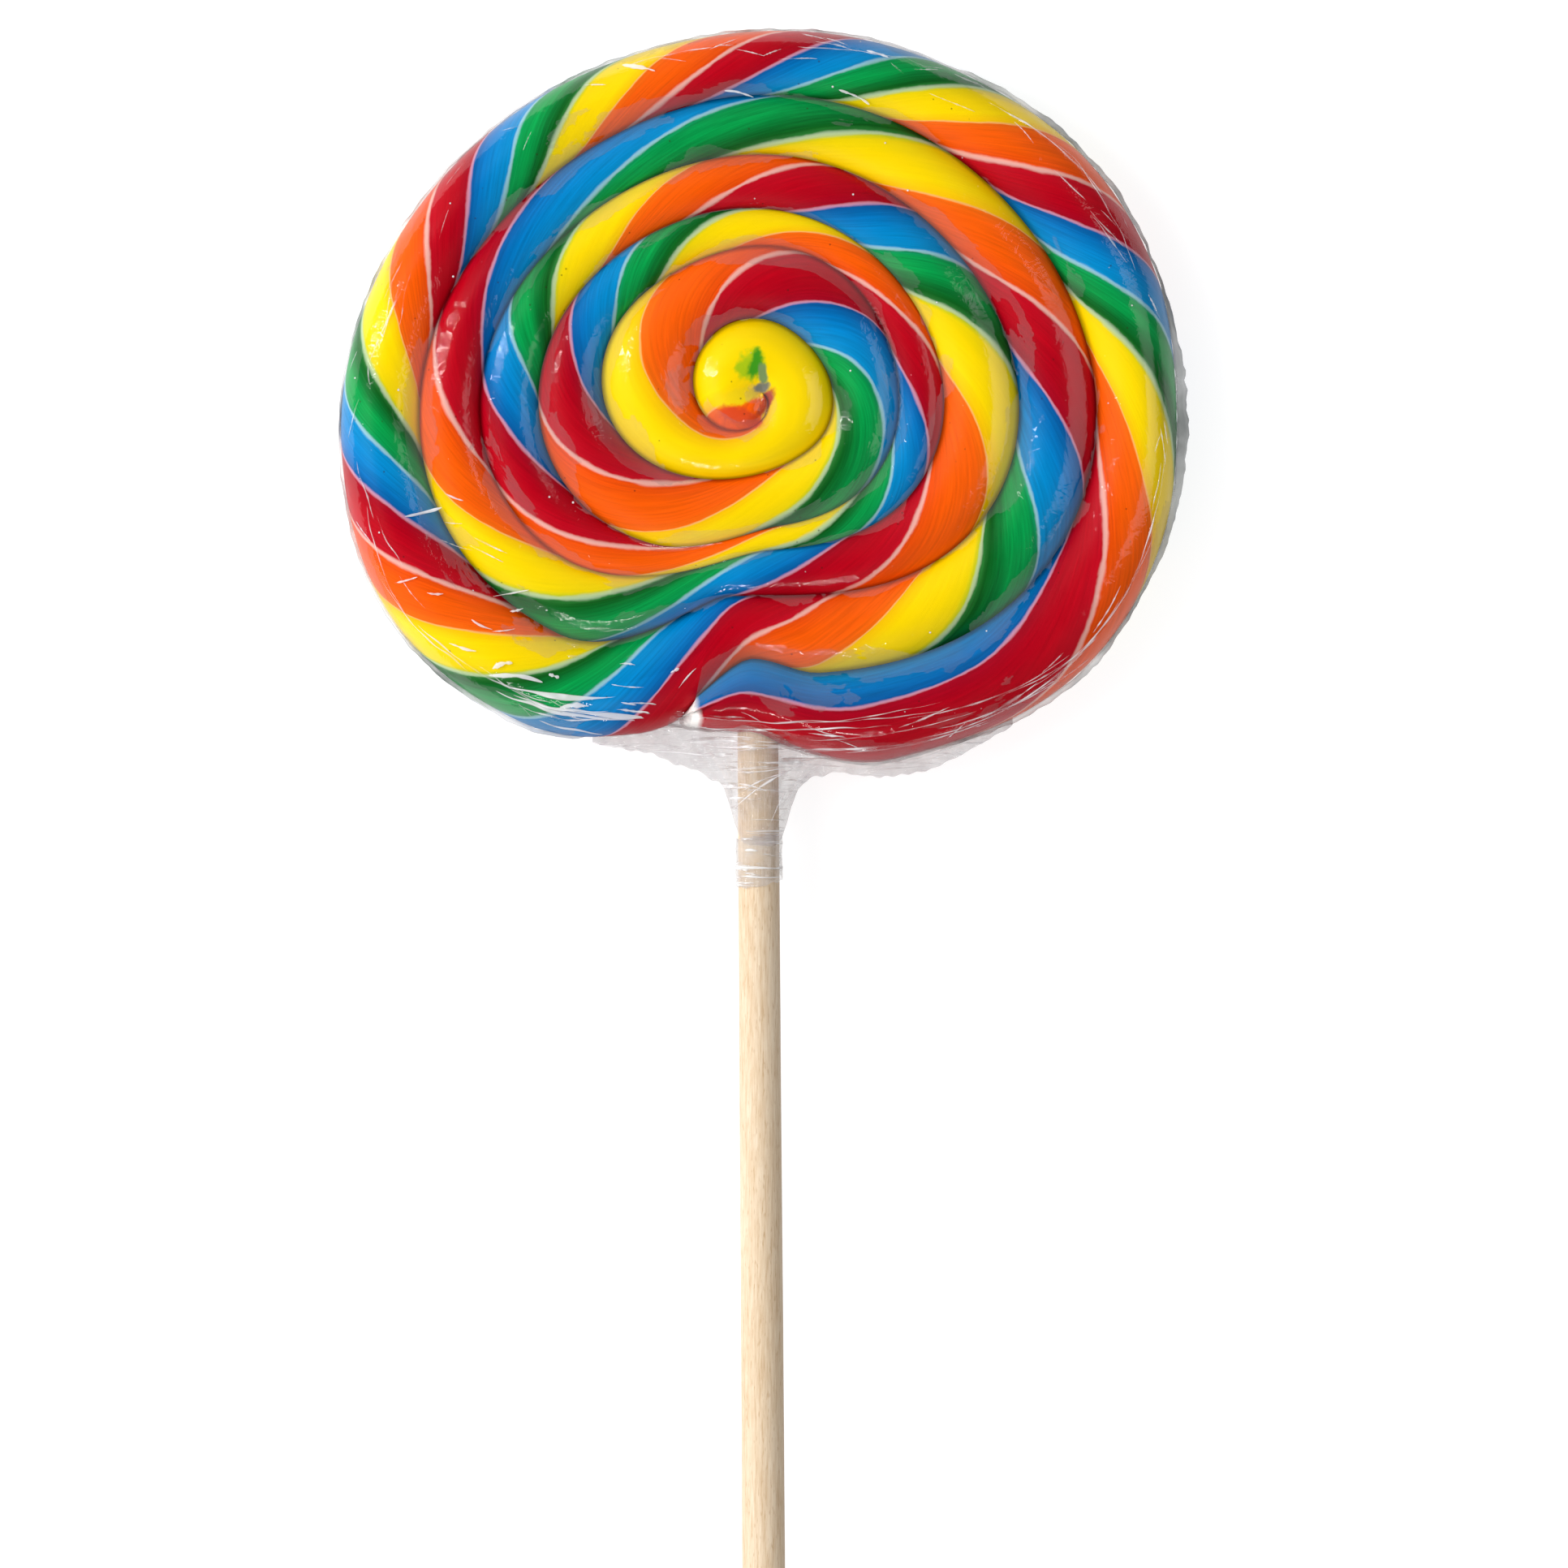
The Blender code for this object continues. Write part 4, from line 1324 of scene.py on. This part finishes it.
def foldGlintMaterial():
    # film folded double: white along its ridge, clear at its feet. The white is partly the fold's own
    # milkiness and partly painted glints
    material, node = newMaterial("foldedShrinkFilmGlints")
    place = node("TexCoord").outputs["Object"]
    sideMap = node("UVMap", uv_map="stripes")
    sideParts = node("SeparateXYZ", [sideMap])
    side = sideParts.outputs["X"]
    breaks = node("TexNoise", {"Vector": place, "Scale": 1 / (7.0 * mm), "Detail": 2.0})
    strength = node("MapRange", [breaks, 0.36, 0.66, 0.08, 0.85])
    # a broad fold stays milky all along and nearly to its feet, painted white where it glints
    solid = node("Math", [sideParts.outputs["Y"], 0.62], operation="MULTIPLY")
    stronger = node("Math", [strength, solid], operation="MAXIMUM")
    ridgeStart = node("Math", [sideParts.outputs["Y"], 0.5, 0.1], operation="MULTIPLY_ADD")
    ridge = node("MapRange", [side, ridgeStart, 0.95, 1.0, 0.0], interpolation_type="SMOOTHSTEP")
    milky = node("Math", [stronger, ridge], operation="MULTIPLY")
    relief = node("Bump", {"Height": breaks, "Strength": 0.4, "Distance": 0.2 * mm})
    filmShader(node, milky, toLinear("#F6F4F6"), 0.06, {"Roughness": 0.08, "Normal": relief})
    return material


def edgeFilmMaterial():
    # two films welded edge to edge: grey seen flat on, with a dark cut edge and pale stress marks, and
    # painted shade that darkens it towards the right
    material, node = newMaterial("weldedFilmEdge")
    place = node("TexCoord").outputs["Object"]
    outMap = node("UVMap", uv_map="stripes")
    out = node("SeparateXYZ", [outMap]).outputs["X"]
    patches = node("TexNoise", {"Vector": place, "Scale": 1 / (16 * mm), "Detail": 4.0, "Roughness": 0.6})
    side = node("SeparateXYZ", [place]).outputs["X"]
    # painted shade: lighter on the left, darker on the right, away from the key light
    paintedShadeToRight = node("MapRange", [side, 40 * mm, 66 * mm, 0.12, -0.16])
    mixed = node("Math", [patches, paintedShadeToRight], operation="ADD")
    tone = node("ValToRGB", {"Fac": mixed}, stops=((0.4, "#7C807E"), (0.62, "#E6E2E0"), (0.5, "#A6A6A4")))
    cutEdge = node("MapRange", [out, 0.72, 1.0, 0.0, 0.7])
    edged = node("Mix", {"Factor": cutEdge, "A": tone, "B": toLinear("#5A5E60")}, data_type="RGBA")
    cover = node("MapRange", [patches, 0.35, 0.65, 0.85, 0.5])
    filmShader(node, cover, edged, 0.05, {"Roughness": 0.1})
    return material


filmFin = makeFin()
finishPiece(filmFin, edgeFilmMaterial(), "film")
filmCreases = makeCreases()
finishPiece(filmCreases, foldGlintMaterial(), "film")
print("film folded")


# the tape round the neck, in mm
tape = {
    "topY": -73.8,
    "length": 7.0,
    "radius": 3.7,
    "wall": 0.12,
    "lap": 0.15,  # thicker where the ends overlap
    "slant": 0.5,
    "ragged": 0.5,
    "crinkle": 0.18,
    "crinkleSize": 1.6,
    "columns": 96,
    "rows": 14,
}


def makeTape():
    columns, rows = tape["columns"], tape["rows"]

    def pointAt(c, r):
        turn = 2 * math.pi * (c % columns) / columns
        across, up, down = math.cos(turn), math.sin(turn), r / rows
        ragged = noise.noise(Vector((across * 2.6, 9.0 + 5.0 * down, up * 2.6)))
        slant = tape["slant"] * math.sin(turn + 0.6) * (1 - down) + (math.sin(turn + 2.4) - 0.2) * down
        y = tape["topY"] - tape["length"] * down + slant + tape["ragged"] * ragged
        crinkle = noise.noise(Vector((across * 2.2, y / tape["crinkleSize"], up * 2.2)))
        radius = tape["radius"] + tape["crinkle"] * crinkle + tape["lap"] * max(across, 0)
        return Vector((stickX(y) + radius * across, y, middleHeight + radius * up))

    def mapAt(c, r):
        return 1.0, 4.0, c * 0.26, r * 0.5

    sheet = makeSheet("band", columns, rows, pointAt, mapAt)
    band = joinPieces("tapeBand", [sheet], merge=thinMerge, smoothAngle=60)
    wall = band.modifiers.new("wall", "SOLIDIFY")
    wall.thickness = tape["wall"] * mm
    wall.offset = 1.0
    bpy.ops.object.modifier_apply(modifier="wall")
    return band


tapeLook = {
    "base": 0.16,
    "baseTone": "#EEEAE8",
    "creaseWhiteAndGlintTone": "#FFFFFF",
    "creaseLength": 6.0,
    "creaseWidth": 0.6,
}

tapeBand = makeTape()
finishPiece(tapeBand, layeredFilmMaterial("clearCelluloseTape", tapeLook), "tape", "neck_tape")
print("neck taped")


# floor, camera and light: lengths in mm, lamps in metres and watts
studio = {
    "floor": "#9C9C9D",
    "floorSize": 6.0,  # metres
    "floorGlow": 0.8,
    "skyTone": "#FDFEFF",
    "skyLeft": 1.17,
    "skyRight": 0.26,
    "skyTop": 0.12,
    "frameWidth": 261.3,
    "frameCentre": (3.9, -64.8),
    "cameraHeight": 1200.0,
    "sensor": 36.0,
    "lampTone": "#FFFFFF",
    # place, sides and power of each lamp
    "lamps": {
        "keyLeft": ((-0.62, 0.12, 0.55), (0.5, 0.5), 4.3),
        "fillRight": ((0.9, 0.1, 0.9), (0.8, 0.8), 2.4),
        "stripFront": ((-0.15, -0.8, 0.75), (0.7, 0.03), 1.2),
        "stripLeft": ((-0.75, 0.25, 0.6), (0.03, 0.7), 1.2),
    },
}


def makeFloor():
    # a white panel, faintly lit from inside, so shadows stay pale
    bpy.ops.mesh.primitive_plane_add(size=studio["floorSize"], location=(0, 0, cadLow.z - 0.1 * mm))
    floor = bpy.context.object
    floor.name = "floor"
    material, node = newMaterial("opalLightTable")
    shader = node("BsdfPrincipled",
        {"Base Color": toLinear(studio["floor"]), "Roughness": 0.9, "Specular IOR Level": 0.0,
        "Emission Color": toLinear("#FFFFFF"), "Emission Strength": studio["floorGlow"]})
    node("OutputMaterial", [shader])
    floor.data.materials.append(material)
    # the panel is flagged off the candy, which keeps the shade side of the rope dark
    floor.visible_diffuse = False


def makeStudio():
    bpy.ops.object.select_all(action="DESELECT")
    makeFloor()

    x, y = studio["frameCentre"]
    height, sensor = studio["cameraHeight"], studio["sensor"]
    bpy.ops.object.camera_add(location=(x * mm, y * mm, (height + thickness) * mm), rotation=(0, 0, 0))
    camera = bpy.context.object
    camera.data.sensor_width = sensor
    camera.data.lens = sensor * (height + middleHeight) / studio["frameWidth"]
    camera.data.clip_start, camera.data.clip_end = 0.01, 20.0
    bpy.context.scene.camera = camera

    for name, (place, sides, power) in studio["lamps"].items():
        bpy.ops.object.light_add(type="AREA", location=place)
        lamp = bpy.context.object
        lamp.name = name
        lamp.data.shape = "RECTANGLE"
        lamp.data.size, lamp.data.size_y = sides
        lamp.data.energy = power
        lamp.data.color = toLinear(studio["lampTone"])[:3]
        lamp.rotation_mode = "QUATERNION"
        lamp.rotation_quaternion = (-Vector(place)).to_track_quat("-Z", "Y")
    bpy.data.objects["keyLeft"].visible_glossy = False  # polarised, so it leaves no sheen

    world = bpy.data.worlds.new("paleRoom")
    bpy.context.scene.world = world
    world.use_nodes = True
    world.cycles_visibility.glossy = False  # the film mirrors the lamps, not the pale room
    world.node_tree.nodes.clear()
    node = partial(addNode, world.node_tree)
    direction = node("TexCoord").outputs["Generated"]
    ways = node("SeparateXYZ", [direction])
    wall = node("MapRange", [ways.outputs["X"], -0.9, 0.9, studio["skyLeft"], studio["skyRight"]])
    strength = node("MapRange",
        [ways.outputs["Z"], 0.8, 0.97, wall, studio["skyTop"]], interpolation_type="SMOOTHSTEP")
    back = node("Background", {"Color": toLinear(studio["skyTone"]), "Strength": strength})
    node("OutputWorld", [back])

    scene = bpy.context.scene
    scene.view_settings.view_transform = "Standard"
    scene.view_settings.look = "None"
    scene.view_settings.exposure = 0.0


makeStudio()
print("studio lit")
